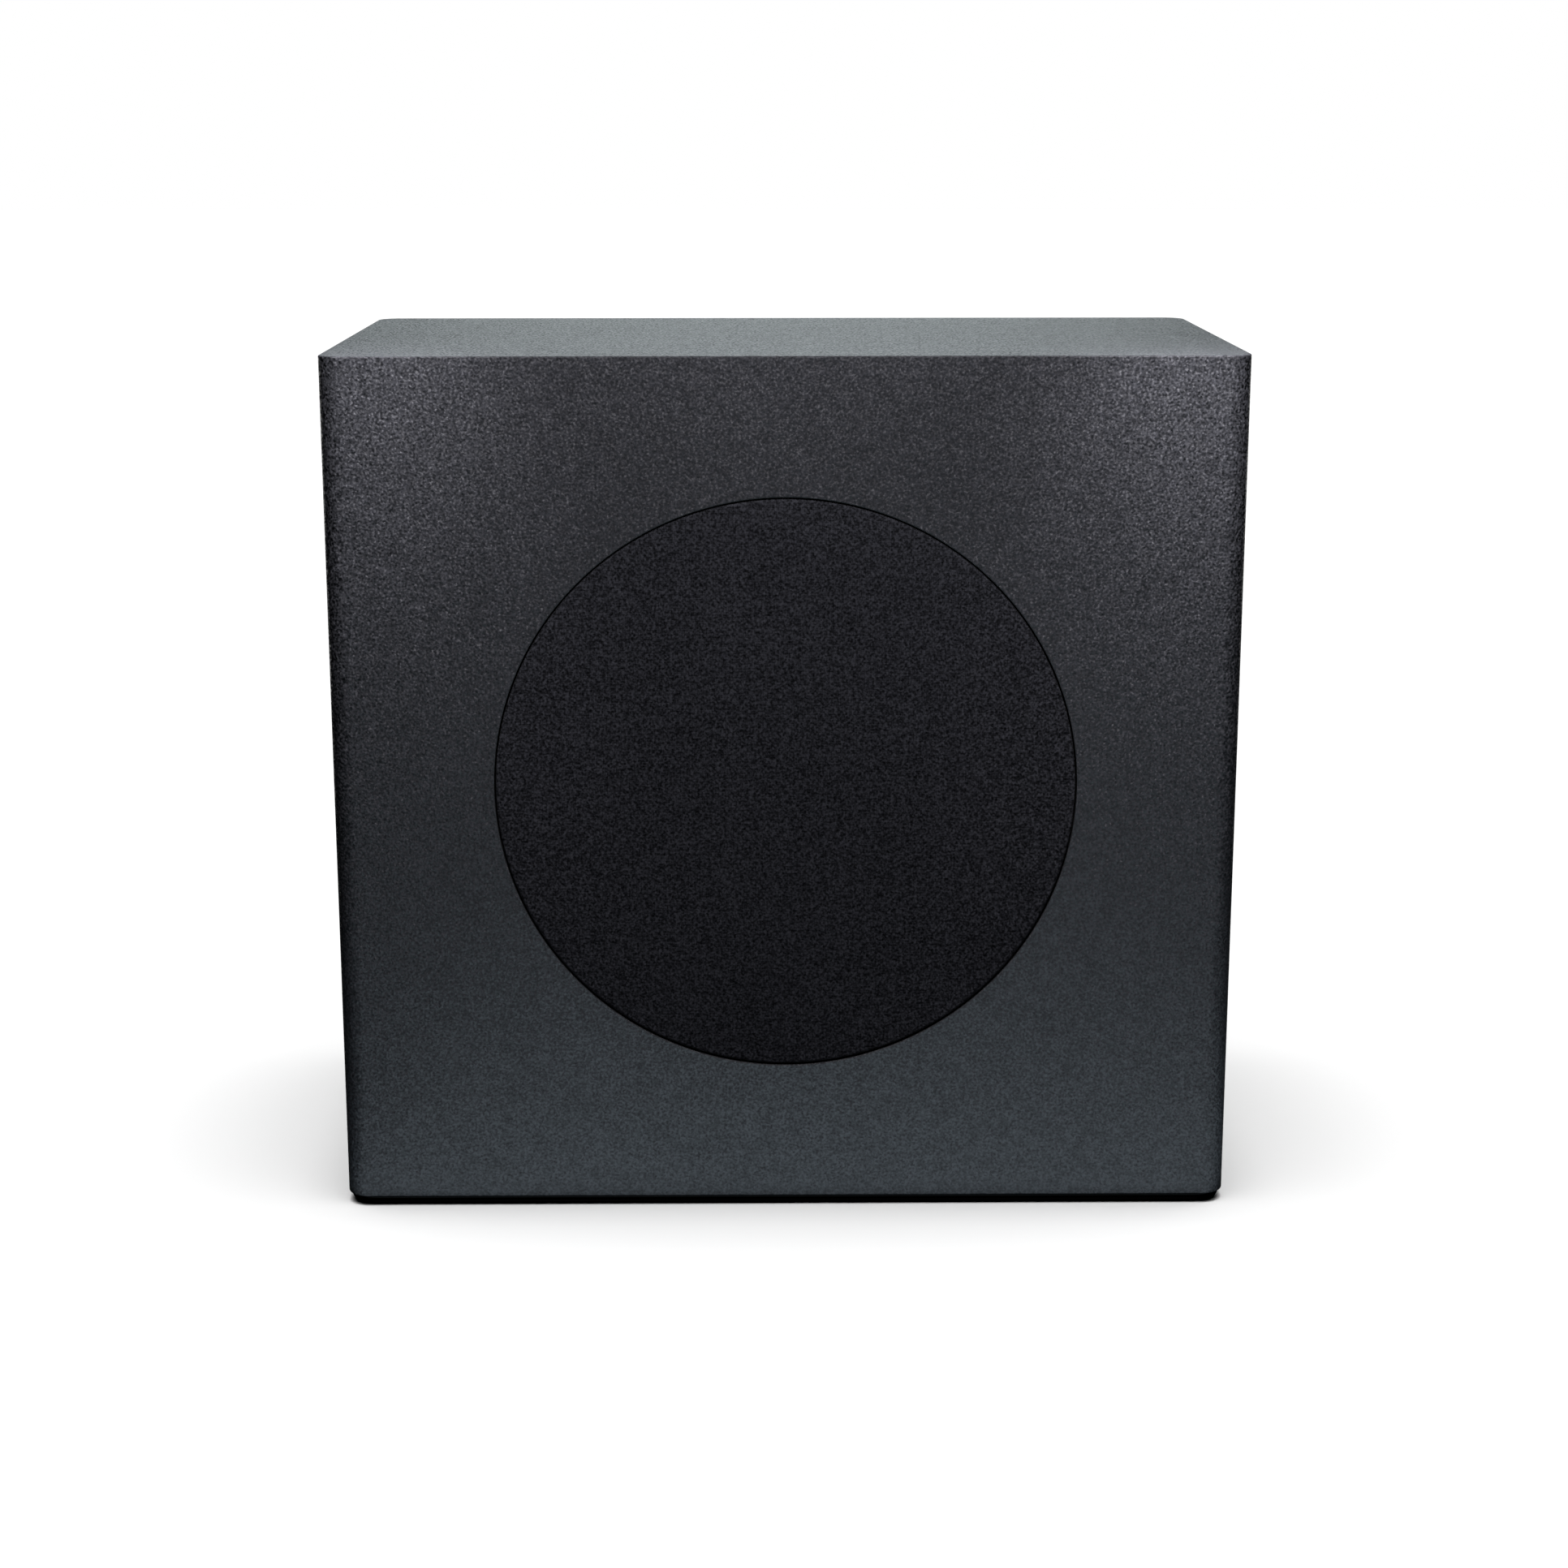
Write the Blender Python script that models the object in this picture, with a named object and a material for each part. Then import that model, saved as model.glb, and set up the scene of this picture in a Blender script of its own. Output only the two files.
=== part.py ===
"""Compact wireless subwoofer: a wrapped MDF cabinet, a round press-in front grille over a long-throw
woofer, a flared rear port and a recessed amplifier panel. Metres, +Z up, the grille faces -Y.
The origin is under the middle of the cabinet, on the surface that the feet stand on."""

import math

import bmesh
import bpy
from mathutils import Vector

# Driving dimensions
WIDTH = 0.375
DEPTH = 0.206
CABINET_HEIGHT = 0.356
EDGE_RADIUS = 0.0095  # the cabinet's four upright edges
BASE_STRIP = 0.004  # the dark strip under the cabinet: feet and base plate
FOOT_STANDOFF = 0.001
FOOT_INSET_X = 0.034
FOOT_INSET_Y = 0.030
GRILLE_RADIUS = 0.1194
GRILLE_LIFT = 0.001  # the grille's centre above the middle of the cabinet
WRAP = 0.0005  # thickness of the vinyl wrap
WALL = 0.012  # side, top, bottom, back and driver panels
BAFFLE = 0.016
GAP = 0.0003  # clearance between pieces that touch

# Roundness
ROUND_STEPS = 48
MEDIUM_STEPS = 32
SOFT_STEPS = 24
SMALL_STEPS = 16
SCREW_STEPS = 8
CORNER_STEPS = 5
SHARP_ANGLE = math.radians(35)

# The cabinet's faces
FRONT = -DEPTH / 2
BACK = DEPTH / 2
CABINET_BOTTOM = BASE_STRIP
CABINET_TOP = BASE_STRIP + CABINET_HEIGHT
SKIN = WRAP + GAP
PANEL_X = WIDTH / 2 - SKIN
PANEL_FRONT = FRONT + SKIN
PANEL_BACK = BACK - SKIN
PANEL_BOTTOM = CABINET_BOTTOM + SKIN
PANEL_TOP = CABINET_TOP - SKIN
BAFFLE_BACK = PANEL_FRONT + BAFFLE
BACK_PANEL_FRONT = PANEL_BACK - WALL
INNER_X = PANEL_X - WALL - GAP
INNER_FRONT = BAFFLE_BACK + GAP
INNER_BACK = BACK_PANEL_FRONT - GAP
INNER_BOTTOM = PANEL_BOTTOM + WALL + GAP
INNER_TOP = PANEL_TOP - WALL - GAP

# Woofer, in depths behind the driver panel's front face
WOOFER_Z = CABINET_BOTTOM + CABINET_HEIGHT / 2 + GRILLE_LIFT
DRIVER_FACE = INNER_FRONT
FLANGE_RADIUS = 0.104
FLANGE_THICKNESS = 0.003
BASKET_OPENING = 0.0885
SCREW_CIRCLE = 0.0987
WOOFER_SCREWS = 6
CONE_RADIUS = 0.0745
NECK_RADIUS = 0.0199
FORMER_RADIUS = 0.0196
SPIDER_LANDING_DEPTH = 0.038
SPIDER_RADIUS = 0.058
BASKET_DEPTH = 0.054
TOP_PLATE_THICKNESS = 0.006
MAGNET_THICKNESS = 0.018
MAGNET_RADIUS = 0.060
PLATE_RADIUS = 0.056
POLE_RADIUS = 0.0185
SCREW_HOLE = 0.0022
TERMINAL_X = 0.083

# Grille
GRILLE_GAP = 0.001  # dark line round the grille
GRILLE_OPENING = GRILLE_RADIUS + GRILLE_GAP
CLOTH = 0.0006
CLOTH_FACE = FRONT + 0.0003
CLOTH_END = FRONT + 0.0075
FRAME_FRONT = CLOTH_FACE + CLOTH + GAP
FRAME_BACK = FRONT + 0.0075
FRAME_RADIUS = GRILLE_RADIUS - CLOTH - GAP
FRAME_INNER_RADIUS = 0.1085
PEG_CIRCLE = 0.1125
PEG_RADIUS = 0.0022
PEG_DEPTH = 0.007  # engagement in the socket
PEG_ANGLES = [math.radians(45 + 90 * quarter) for quarter in range(4)]
SOCKET_RADIUS = 0.0040

# Port and amplifier panel on the back
PORT_Z = 0.290
PORT_RADIUS = 0.029
PORT_LENGTH = 0.095
PORT_FLANGE = 0.045
PORT_HOLE = 0.0415
PORT_FLANGE_THICKNESS = 0.002
PORT_FACE = BACK - 0.0002
PLATE_LOW = (-0.075, 0.030)
PLATE_HIGH = (0.075, 0.205)
PLATE_CORNER = 0.004
PLATE_THICKNESS = 0.0025
PLATE_RECESS = 0.0022
PLATE_FACE = BACK - PLATE_RECESS
PLATE_INSIDE = PLATE_FACE - PLATE_THICKNESS
SEAL_THICKNESS = 0.001
WINDOW_INSET = 0.011  # the plate's rim on the back panel
PLATE_SCREW_INSET = 0.0055
INLET_CENTRE = (0.036, 0.058)
INLET_CUTOUT = (0.0220, 0.0140)
BUTTON_CENTRE = (-0.040, 0.158)
LIGHT_CENTRE = (-0.040, 0.176)
BUTTON_HOLE = 0.0034
LIGHT_HOLE = 0.0021
BOARD_STANDOFF = 0.016
BOARD_THICKNESS = 0.0016
BOARD_HALF_WIDTH = 0.058
BOARD_LOW = 0.042
BOARD_HIGH = 0.186
BOARD_FRONT = PLATE_INSIDE - BOARD_STANDOFF
BOARD_REAR = BOARD_FRONT - BOARD_THICKNESS
PART_REAR = BOARD_REAR - GAP  # where the board's components start


# ---------------------------------------------------------------- scene and materials


def clear_scene():
    for leftover in list(bpy.data.objects):
        bpy.data.objects.remove(leftover, do_unlink=True)


def principled(name, color, roughness, metallic=0.0):
    result = bpy.data.materials.new(name)
    result.use_nodes = True
    shader = result.node_tree.nodes["Principled BSDF"]
    shader.inputs["Base Color"].default_value = (*color, 1.0)
    shader.inputs["Roughness"].default_value = roughness
    shader.inputs["Metallic"].default_value = metallic
    result.diffuse_color = (*color, 1.0)
    return result


def make_materials():
    return {
        "wrap": principled("textured_vinyl", (0.045, 0.047, 0.053), 0.55),
        "board": principled("mdf", (0.36, 0.24, 0.14), 0.9),
        "dark_board": principled("blackened_mdf", (0.016, 0.016, 0.017), 0.85),
        "cloth": principled("grille_cloth", (0.016, 0.016, 0.020), 0.95),
        "plastic": principled("black_plastic", (0.012, 0.012, 0.013), 0.5),
        "rubber": principled("black_rubber", (0.015, 0.015, 0.015), 0.8),
        "paper": principled("coated_paper", (0.030, 0.030, 0.033), 0.85),
        "steel": principled("pressed_steel", (0.030, 0.030, 0.032), 0.45, 0.6),
        "zinc": principled("zinc_plate", (0.55, 0.56, 0.58), 0.35, 1.0),
        "ferrite": principled("ferrite", (0.045, 0.042, 0.042), 0.7),
        "weave": principled("impregnated_cotton", (0.42, 0.25, 0.07), 0.9),
        "copper": principled("copper_wire", (0.72, 0.32, 0.16), 0.35, 1.0),
        "laminate": principled("circuit_board", (0.02, 0.12, 0.05), 0.5),
        "aluminium": principled("aluminium", (0.62, 0.63, 0.65), 0.4, 1.0),
        "wadding": principled("polyester_wadding", (0.72, 0.72, 0.70), 1.0),
        "foam": principled("sealing_foam", (0.02, 0.02, 0.02), 1.0),
        "light": principled("light_pipe", (0.55, 0.70, 0.75), 0.2),
    }


# ---------------------------------------------------------------- shapes


def placed(first, second, level, axis):
    """A point from its two coordinates across the axis and its level along it."""
    return {"X": (level, first, second), "Y": (first, level, second), "Z": (first, second, level)}[axis]


def rounded_outline(low, high, radii, steps=CORNER_STEPS):
    """A rectangle anticlockwise from its low corner, each corner an arc of its own radius."""
    corners = (
        (low[0], low[1], 1, 1),
        (high[0], low[1], -1, 1),
        (high[0], high[1], -1, -1),
        (low[0], high[1], 1, -1),
    )
    points = []
    for turn, ((first, second, inward, upward), radius) in enumerate(zip(corners, radii)):
        if radius == 0:
            points.append((first, second))
            continue
        for step in range(steps + 1):
            angle = math.pi * (1 + turn / 2) + math.pi / 2 * step / steps
            across = first + radius * (inward + math.cos(angle))
            along = second + radius * (upward + math.sin(angle))
            points.append((across, along))
    return points


def add_prism(shape, outline, low, high, axis):
    """A closed prism: the outline carried along the axis from one level to another."""
    rings = []
    for level in (low, high):
        rings.append([shape.verts.new(placed(first, second, level, axis)) for first, second in outline])
        shape.faces.new(rings[-1])
    count = len(outline)
    for index in range(count):
        after = (index + 1) % count
        shape.faces.new((rings[0][index], rings[0][after], rings[1][after], rings[1][index]))


def add_box(shape, low, high):
    add_prism(shape, rounded_outline(low[:2], high[:2], (0, 0, 0, 0)), low[2], high[2], "Z")


def add_turned(shape, profile, steps, axis="Y", centre=(0.0, 0.0)):
    """A closed solid turned round the axis from the (radius, level) points that go round its section."""
    rings = []
    for radius, level in profile:
        if radius == 0:
            rings.append([shape.verts.new(placed(*centre, level, axis))])
            continue
        ring = []
        for step in range(steps):
            angle = 2 * math.pi * step / steps
            first = centre[0] + radius * math.cos(angle)
            second = centre[1] + radius * math.sin(angle)
            ring.append(shape.verts.new(placed(first, second, level, axis)))
        rings.append(ring)
    for ring, following in zip(rings, rings[1:] + rings[:1]):
        if len(ring) == 1 and len(following) == 1:
            continue
        for step in range(steps):
            after = (step + 1) % steps
            corners = [ring[step % len(ring)], ring[after % len(ring)]]
            corners += [following[after % len(following)], following[step % len(following)]]
            unique = list(dict.fromkeys(corners))
            shape.faces.new(unique)


def add_rod(shape, radius, low, high, steps, axis="Y", centre=(0.0, 0.0)):
    add_turned(shape, [(0, low), (radius, low), (radius, high), (0, high)], steps, axis, centre)


def thick_curve(points, thickness):
    """The closed section of a thin skin: the (radius, level) points and the same points moved back."""
    return points + [(radius, level + thickness) for radius, level in reversed(points)]


def on_circle(radius, angle):
    return (radius * math.cos(angle), radius * math.sin(angle))


def make_object(name, shape, material, origin=(0, 0, 0), parent=None, smooth=False):
    bmesh.ops.recalc_face_normals(shape, faces=shape.faces)
    mesh = bpy.data.meshes.new(name)
    shape.to_mesh(mesh)
    shape.free()
    mesh.materials.append(material)
    if smooth:
        mesh.shade_smooth()
        mesh.set_sharp_from_angle(angle=SHARP_ANGLE)
    made = bpy.data.objects.new(name, mesh)
    made.location = origin
    made.parent = parent
    bpy.context.collection.objects.link(made)
    return made


def make_empty(name, origin):
    made = bpy.data.objects.new(name, None)
    made.location = origin
    bpy.context.collection.objects.link(made)
    return made


def cut(target, shape, operation="DIFFERENCE", parent=None):
    """Cuts the shape out of the target, or joins it on."""
    tool = make_object(target.name + "_tool", shape, target.data.materials[0], parent=parent)
    tool.hide_render = True
    tool.display_type = "WIRE"
    modifier = target.modifiers.new(operation.lower(), "BOOLEAN")
    modifier.operation = operation
    modifier.object = tool


def box_object(name, low, high, material):
    shape = bmesh.new()
    add_box(shape, low, high)
    return make_object(name, shape, material)


def turned_object(name, profile, steps, material, parent=None, origin=(0, 0, 0), axis="Y"):
    shape = bmesh.new()
    add_turned(shape, profile, steps, axis)
    return make_object(name, shape, material, origin, parent, smooth=True)


def smooth_route(corners, spacing):
    """Evenly stepped points along a Catmull-Rom curve through a cable's own points."""
    ends = [2 * corners[0] - corners[1]] + corners + [2 * corners[-1] - corners[-2]]
    route = []
    for before, start, end, after in zip(ends, ends[1:], ends[2:], ends[3:]):
        steps = max(1, round((end - start).length / spacing))
        for step in range(steps):
            t = step / steps
            bend = (2 * before - 5 * start + 4 * end - after) * t**2
            twist = (3 * start - before - 3 * end + after) * t**3
            route.append((2 * start + (end - before) * t + bend + twist) / 2)
    return route + [corners[-1]]


def cable_object(name, corners, radius, spacing, material, parent=None):
    curve = bpy.data.curves.new(name, "CURVE")
    curve.dimensions = "3D"
    curve.bevel_depth = radius
    curve.bevel_resolution = 2
    curve.use_fill_caps = True
    curve.materials.append(material)
    route = smooth_route([Vector(corner) for corner in corners], spacing)
    spline = curve.splines.new("POLY")
    spline.points.add(len(route) - 1)
    for point, place in zip(spline.points, route):
        point.co = (*place, 1.0)
    made = bpy.data.objects.new(name, curve)
    made.parent = parent
    bpy.context.collection.objects.link(made)


# ---------------------------------------------------------------- cabinet


def plate_outline(margin):
    """The amplifier plate's outline grown by a margin, in X and Z."""
    low = (PLATE_LOW[0] - margin, PLATE_LOW[1] - margin)
    high = (PLATE_HIGH[0] + margin, PLATE_HIGH[1] + margin)
    radius = max(PLATE_CORNER + margin, PLATE_CORNER / 2)
    return rounded_outline(low, high, [radius] * 4, steps=3)


def plate_screw_places():
    columns = (PLATE_LOW[0] + PLATE_SCREW_INSET, PLATE_HIGH[0] - PLATE_SCREW_INSET)
    middle = (PLATE_LOW[1] + PLATE_HIGH[1]) / 2
    rows = (PLATE_LOW[1] + PLATE_SCREW_INSET, middle, PLATE_HIGH[1] - PLATE_SCREW_INSET)
    return [(column, row) for column in columns for row in rows]


def make_wrap(material):
    """The textured vinyl skin: a thin box with round upright edges, open at the grille, port and panel."""
    outside = bmesh.new()
    outline = rounded_outline((-WIDTH / 2, FRONT), (WIDTH / 2, BACK), [EDGE_RADIUS] * 4)
    add_prism(outside, outline, CABINET_BOTTOM, CABINET_TOP, "Z")
    wrap = make_object("cabinet_wrap", outside, material, smooth=True)
    inside = bmesh.new()
    low = (WRAP - WIDTH / 2, FRONT + WRAP)
    high = (WIDTH / 2 - WRAP, BACK - WRAP)
    outline = rounded_outline(low, high, [EDGE_RADIUS - WRAP] * 4)
    add_prism(inside, outline, CABINET_BOTTOM + WRAP, CABINET_TOP - WRAP, "Z")
    cut(wrap, inside)
    past = 0.005
    openings = bmesh.new()
    add_rod(openings, GRILLE_OPENING, FRONT - past, FRONT + past, ROUND_STEPS, centre=(0, WOOFER_Z))
    add_rod(openings, PORT_FLANGE + GAP, BACK - past, BACK + past, MEDIUM_STEPS, centre=(0, PORT_Z))
    add_prism(openings, plate_outline(GAP), BACK - past, BACK + past, "Y")
    cut(wrap, openings)


def make_front_baffle(material):
    shape = bmesh.new()
    radius = EDGE_RADIUS - SKIN
    outline = rounded_outline((-PANEL_X, PANEL_FRONT), (PANEL_X, BAFFLE_BACK), (radius, radius, 0, 0))
    add_prism(shape, outline, PANEL_BOTTOM, PANEL_TOP, "Z")
    baffle = make_object("front_baffle", shape, material)
    opening = bmesh.new()
    add_rod(opening, GRILLE_OPENING, FRONT, BAFFLE_BACK + GAP, ROUND_STEPS, centre=(0, WOOFER_Z))
    cut(baffle, opening)


def make_driver_baffle(material):
    """The inner panel that carries the woofer and the grille's sockets."""
    low = (-INNER_X, DRIVER_FACE, INNER_BOTTOM)
    high = (INNER_X, DRIVER_FACE + WALL, INNER_TOP)
    baffle = box_object("driver_baffle", low, high, material)
    past = 0.001
    step_depth = FLANGE_THICKNESS + GAP
    cutout = BASKET_OPENING + 0.004
    rebate = FLANGE_RADIUS + GAP
    opening = bmesh.new()
    profile = [(0, -past), (rebate, -past), (rebate, step_depth), (cutout, step_depth)]
    profile += [(cutout, WALL + past), (0, WALL + past)]
    centre = (0, WOOFER_Z)
    add_turned(
        opening, [(radius, DRIVER_FACE + depth) for radius, depth in profile], ROUND_STEPS, centre=centre
    )
    cut(baffle, opening)
    holes = bmesh.new()
    for index in range(WOOFER_SCREWS):
        across, up = on_circle(SCREW_CIRCLE, woofer_screw_angle(index))
        centre = (across, WOOFER_Z + up)
        low, high = DRIVER_FACE, DRIVER_FACE + WALL + past
        add_rod(holes, SCREW_HOLE, low, high, SCREW_STEPS, centre=centre)
    for angle in PEG_ANGLES:
        across, up = on_circle(PEG_CIRCLE, angle)
        centre = (across, WOOFER_Z + up)
        low, high = DRIVER_FACE - past, DRIVER_FACE + WALL + past
        add_rod(holes, SOCKET_RADIUS + GAP, low, high, SCREW_STEPS, centre=centre)
    cut(baffle, holes)


def make_back_panel(material):
    shape = bmesh.new()
    radius = EDGE_RADIUS - SKIN
    outline = rounded_outline((-PANEL_X, BACK_PANEL_FRONT), (PANEL_X, PANEL_BACK), (0, 0, radius, radius))
    add_prism(shape, outline, PANEL_BOTTOM, PANEL_TOP, "Z")
    panel = make_object("back_panel", shape, material)
    past = 0.001
    inside = BACK_PANEL_FRONT - past
    flange_seat = PORT_FACE - PORT_FLANGE_THICKNESS - GAP
    plate_seat = PLATE_INSIDE - SEAL_THICKNESS - 2 * GAP
    port = bmesh.new()
    profile = [(0, inside), (PORT_HOLE, inside), (PORT_HOLE, flange_seat)]
    profile += [(PORT_FLANGE + GAP, flange_seat), (PORT_FLANGE + GAP, BACK), (0, BACK)]
    add_turned(port, profile, MEDIUM_STEPS, centre=(0, PORT_Z))
    cut(panel, port)
    rebate = bmesh.new()
    add_prism(rebate, plate_outline(GAP), plate_seat, BACK, "Y")
    cut(panel, rebate)
    window = bmesh.new()
    add_prism(window, plate_outline(-WINDOW_INSET), inside, BACK, "Y")
    pilot_radius, pilot_depth = 0.0019, 0.005
    for place in plate_screw_places():
        add_rod(window, pilot_radius, plate_seat - pilot_depth, BACK, SCREW_STEPS, centre=place)
    cut(panel, window)


def make_plain_panels(material):
    for name, low_x in (("left_panel", -PANEL_X), ("right_panel", PANEL_X - WALL)):
        low = (low_x, INNER_FRONT, PANEL_BOTTOM)
        box_object(name, low, (low_x + WALL, INNER_BACK, PANEL_TOP), material)
    for name, low_z in (("bottom_panel", PANEL_BOTTOM), ("top_panel", PANEL_TOP - WALL)):
        low = (-INNER_X, INNER_FRONT, low_z)
        box_object(name, low, (INNER_X, INNER_BACK, low_z + WALL), material)


def make_wadding(material):
    """A soft pad on one side wall, which takes up the sound inside."""
    thickness = 0.018
    margin = 0.012
    low = (-INNER_X + GAP, DRIVER_FACE + WALL + margin, INNER_BOTTOM + margin)
    high = (low[0] + thickness, INNER_BACK - margin, 0.200)
    pad = box_object("damping_wadding", low, high, material)
    bevel = pad.modifiers.new("soft_edges", "BEVEL")
    bevel.width = 0.006
    bevel.segments = 2


def make_base(materials):
    inset = 0.001
    corner = 0.012
    foot_radius = 0.014
    pocket = 0.0016
    shape = bmesh.new()
    low = (inset - WIDTH / 2, FRONT + inset)
    high = (WIDTH / 2 - inset, BACK - inset)
    add_prism(shape, rounded_outline(low, high, [corner] * 4), FOOT_STANDOFF, CABINET_BOTTOM - GAP, "Z")
    plate = make_object("base_plate", shape, materials["plastic"])
    pockets = bmesh.new()
    chamfer = 0.0005
    height = FOOT_STANDOFF + pocket - GAP
    profile = [(0, 0), (foot_radius - chamfer, 0), (foot_radius, chamfer), (foot_radius, height), (0, height)]
    for depth_name, depth_side in (("front", -1), ("back", 1)):
        for side_name, side in (("left", -1), ("right", 1)):
            centre = (side * (WIDTH / 2 - FOOT_INSET_X), depth_side * (DEPTH / 2 - FOOT_INSET_Y))
            roof = FOOT_STANDOFF + pocket
            add_rod(pockets, foot_radius + GAP, 0, roof, SMALL_STEPS, axis="Z", centre=centre)
            name = f"foot_{depth_name}_{side_name}"
            origin = (*centre, 0)
            turned_object(name, profile, SMALL_STEPS, materials["rubber"], origin=origin, axis="Z")
    cut(plate, pockets)


# ---------------------------------------------------------------- grille


def make_grille(materials):
    """The press-in grille: its origin is on the line along which it pulls off."""
    line = make_empty("grille_line", (0, 0, WOOFER_Z))
    shape = bmesh.new()
    edge = 0.0006
    profile = [
        (FRAME_INNER_RADIUS, FRAME_FRONT),
        (FRAME_RADIUS - edge, FRAME_FRONT),
        (FRAME_RADIUS, FRAME_FRONT + edge),
        (FRAME_RADIUS, FRAME_BACK),
        (FRAME_INNER_RADIUS, FRAME_BACK),
    ]
    add_turned(shape, profile, ROUND_STEPS)
    frame = make_object("grille_frame", shape, materials["plastic"], parent=line, smooth=True)
    ribs = bmesh.new()
    half_width = 0.0020
    rib_back = FRAME_FRONT + 0.0022
    reach = FRAME_INNER_RADIUS + 0.003
    outline = [(-reach, -half_width), (-half_width, -half_width), (-half_width, -reach)]
    outline += [(half_width, -reach), (half_width, -half_width), (reach, -half_width)]
    outline += [(-first, -second) for first, second in outline]
    add_prism(ribs, outline, FRAME_FRONT + edge, rib_back, "Y")
    cut(frame, ribs, "UNION", parent=line)
    pegs = bmesh.new()
    tip = DRIVER_FACE + PEG_DEPTH
    lead_in = 0.001
    inside_frame = FRAME_BACK - 0.002
    for angle in PEG_ANGLES:
        profile = [(0, inside_frame), (PEG_RADIUS, inside_frame), (PEG_RADIUS, tip - lead_in)]
        profile += [(PEG_RADIUS - lead_in, tip), (0, tip)]
        add_turned(pegs, profile, SCREW_STEPS, centre=on_circle(PEG_CIRCLE, angle))
    cut(frame, pegs, "UNION", parent=line)
    round_over = 0.0012
    profile = [
        (0, CLOTH_FACE),
        (GRILLE_RADIUS - round_over, CLOTH_FACE),
        (GRILLE_RADIUS, CLOTH_FACE + round_over),
        (GRILLE_RADIUS, CLOTH_END),
        (GRILLE_RADIUS - CLOTH, CLOTH_END),
        (GRILLE_RADIUS - CLOTH, CLOTH_FACE + round_over),
        (GRILLE_RADIUS - round_over, CLOTH_FACE + CLOTH),
        (0, CLOTH_FACE + CLOTH),
    ]
    turned_object("grille_cloth", profile, ROUND_STEPS, materials["cloth"], parent=line)


def make_grille_sockets(material):
    """Cups in the driver panel that grip the grille's pegs."""
    lip_radius = SOCKET_RADIUS + 0.0015
    lip = 0.0012
    bore = PEG_RADIUS + 0.0004
    cup_depth = 0.0095
    wall = 0.001
    for index, angle in enumerate(PEG_ANGLES):
        across, up = on_circle(PEG_CIRCLE, angle)
        profile = [
            (bore, -lip - GAP),
            (lip_radius, -lip - GAP),
            (lip_radius, -GAP),
            (SOCKET_RADIUS, -GAP),
            (SOCKET_RADIUS, cup_depth),
            (0, cup_depth),
            (0, cup_depth - wall),
            (bore, cup_depth - wall),
        ]
        origin = (across, DRIVER_FACE, WOOFER_Z + up)
        turned_object(f"grille_socket_{index + 1}", profile, SCREW_STEPS, material, origin=origin)


# ---------------------------------------------------------------- woofer


def woofer_screw_angle(index):
    return math.tau * (index + 0.5) / WOOFER_SCREWS


def make_basket(material, centre):
    """The pressed steel chassis: flange, open wall, spider landing and seat for the magnet."""
    wall = 0.002
    seat_radius = 0.050
    seat_bore = 0.030
    landing_wall = 0.060
    profile = [
        (BASKET_OPENING, 0),
        (FLANGE_RADIUS, 0),
        (FLANGE_RADIUS, FLANGE_THICKNESS),
        (BASKET_OPENING + wall, FLANGE_THICKNESS),
        (landing_wall + wall, SPIDER_LANDING_DEPTH),
        (landing_wall + wall, SPIDER_LANDING_DEPTH + wall),
        (seat_radius + wall, SPIDER_LANDING_DEPTH + wall),
        (seat_radius + wall, BASKET_DEPTH),
        (seat_bore, BASKET_DEPTH),
        (seat_bore, BASKET_DEPTH - wall),
        (seat_radius, BASKET_DEPTH - wall),
        (seat_radius, SPIDER_LANDING_DEPTH),
        (landing_wall, SPIDER_LANDING_DEPTH),
        (BASKET_OPENING, FLANGE_THICKNESS),
    ]
    basket = turned_object("woofer_basket", profile, MEDIUM_STEPS, material, centre)
    windows = bmesh.new()
    half_width = 0.021
    near, far = 0.055, 0.095
    low, high = 0.010, 0.034
    for index in range(WOOFER_SCREWS):
        angle = math.tau * index / WOOFER_SCREWS
        along = Vector((math.cos(angle), math.sin(angle)))
        across = Vector((-along.y, along.x))
        corners = ((near, -half_width), (far, -half_width), (far, half_width), (near, half_width))
        outline = [tuple(along * reach + across * side) for reach, side in corners]
        add_prism(windows, outline, low, high, "Y")
    cut(basket, windows, parent=centre)
    holes = bmesh.new()
    past = 0.001
    for index in range(WOOFER_SCREWS):
        place = on_circle(SCREW_CIRCLE, woofer_screw_angle(index))
        add_rod(holes, SCREW_HOLE, -past, FLANGE_THICKNESS + past, SCREW_STEPS, centre=place)
    cut(basket, holes, parent=centre)


def make_front_gasket(material, centre):
    inner, outer = BASKET_OPENING + 0.0055, FLANGE_RADIUS - 0.0004
    front, back = -0.0023, -GAP
    profile = [(inner, front), (outer, front), (outer, back), (inner, back)]
    gasket = turned_object("woofer_gasket", profile, MEDIUM_STEPS, material, centre)
    holes = bmesh.new()
    head_hole = 0.0042
    past = 0.001
    for index in range(WOOFER_SCREWS):
        place = on_circle(SCREW_CIRCLE, woofer_screw_angle(index))
        add_rod(holes, head_hole, front - past, back + past, SCREW_STEPS, centre=place)
    cut(gasket, holes, parent=centre)


def make_woofer_screws(material):
    head, head_height, shaft, length = 0.0038, 0.0022, 0.0018, 0.0112
    profile = [
        (0, -head_height - GAP),
        (head * 0.65, -head_height - GAP),
        (head, -head_height / 2),
        (head, -GAP),
        (shaft, -GAP),
        (shaft, length - shaft),
        (0, length),
    ]
    for index in range(WOOFER_SCREWS):
        across, up = on_circle(SCREW_CIRCLE, woofer_screw_angle(index))
        origin = (across, DRIVER_FACE, WOOFER_Z + up)
        turned_object(f"woofer_screw_{index + 1}", profile, SCREW_STEPS, material, origin=origin)


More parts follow.
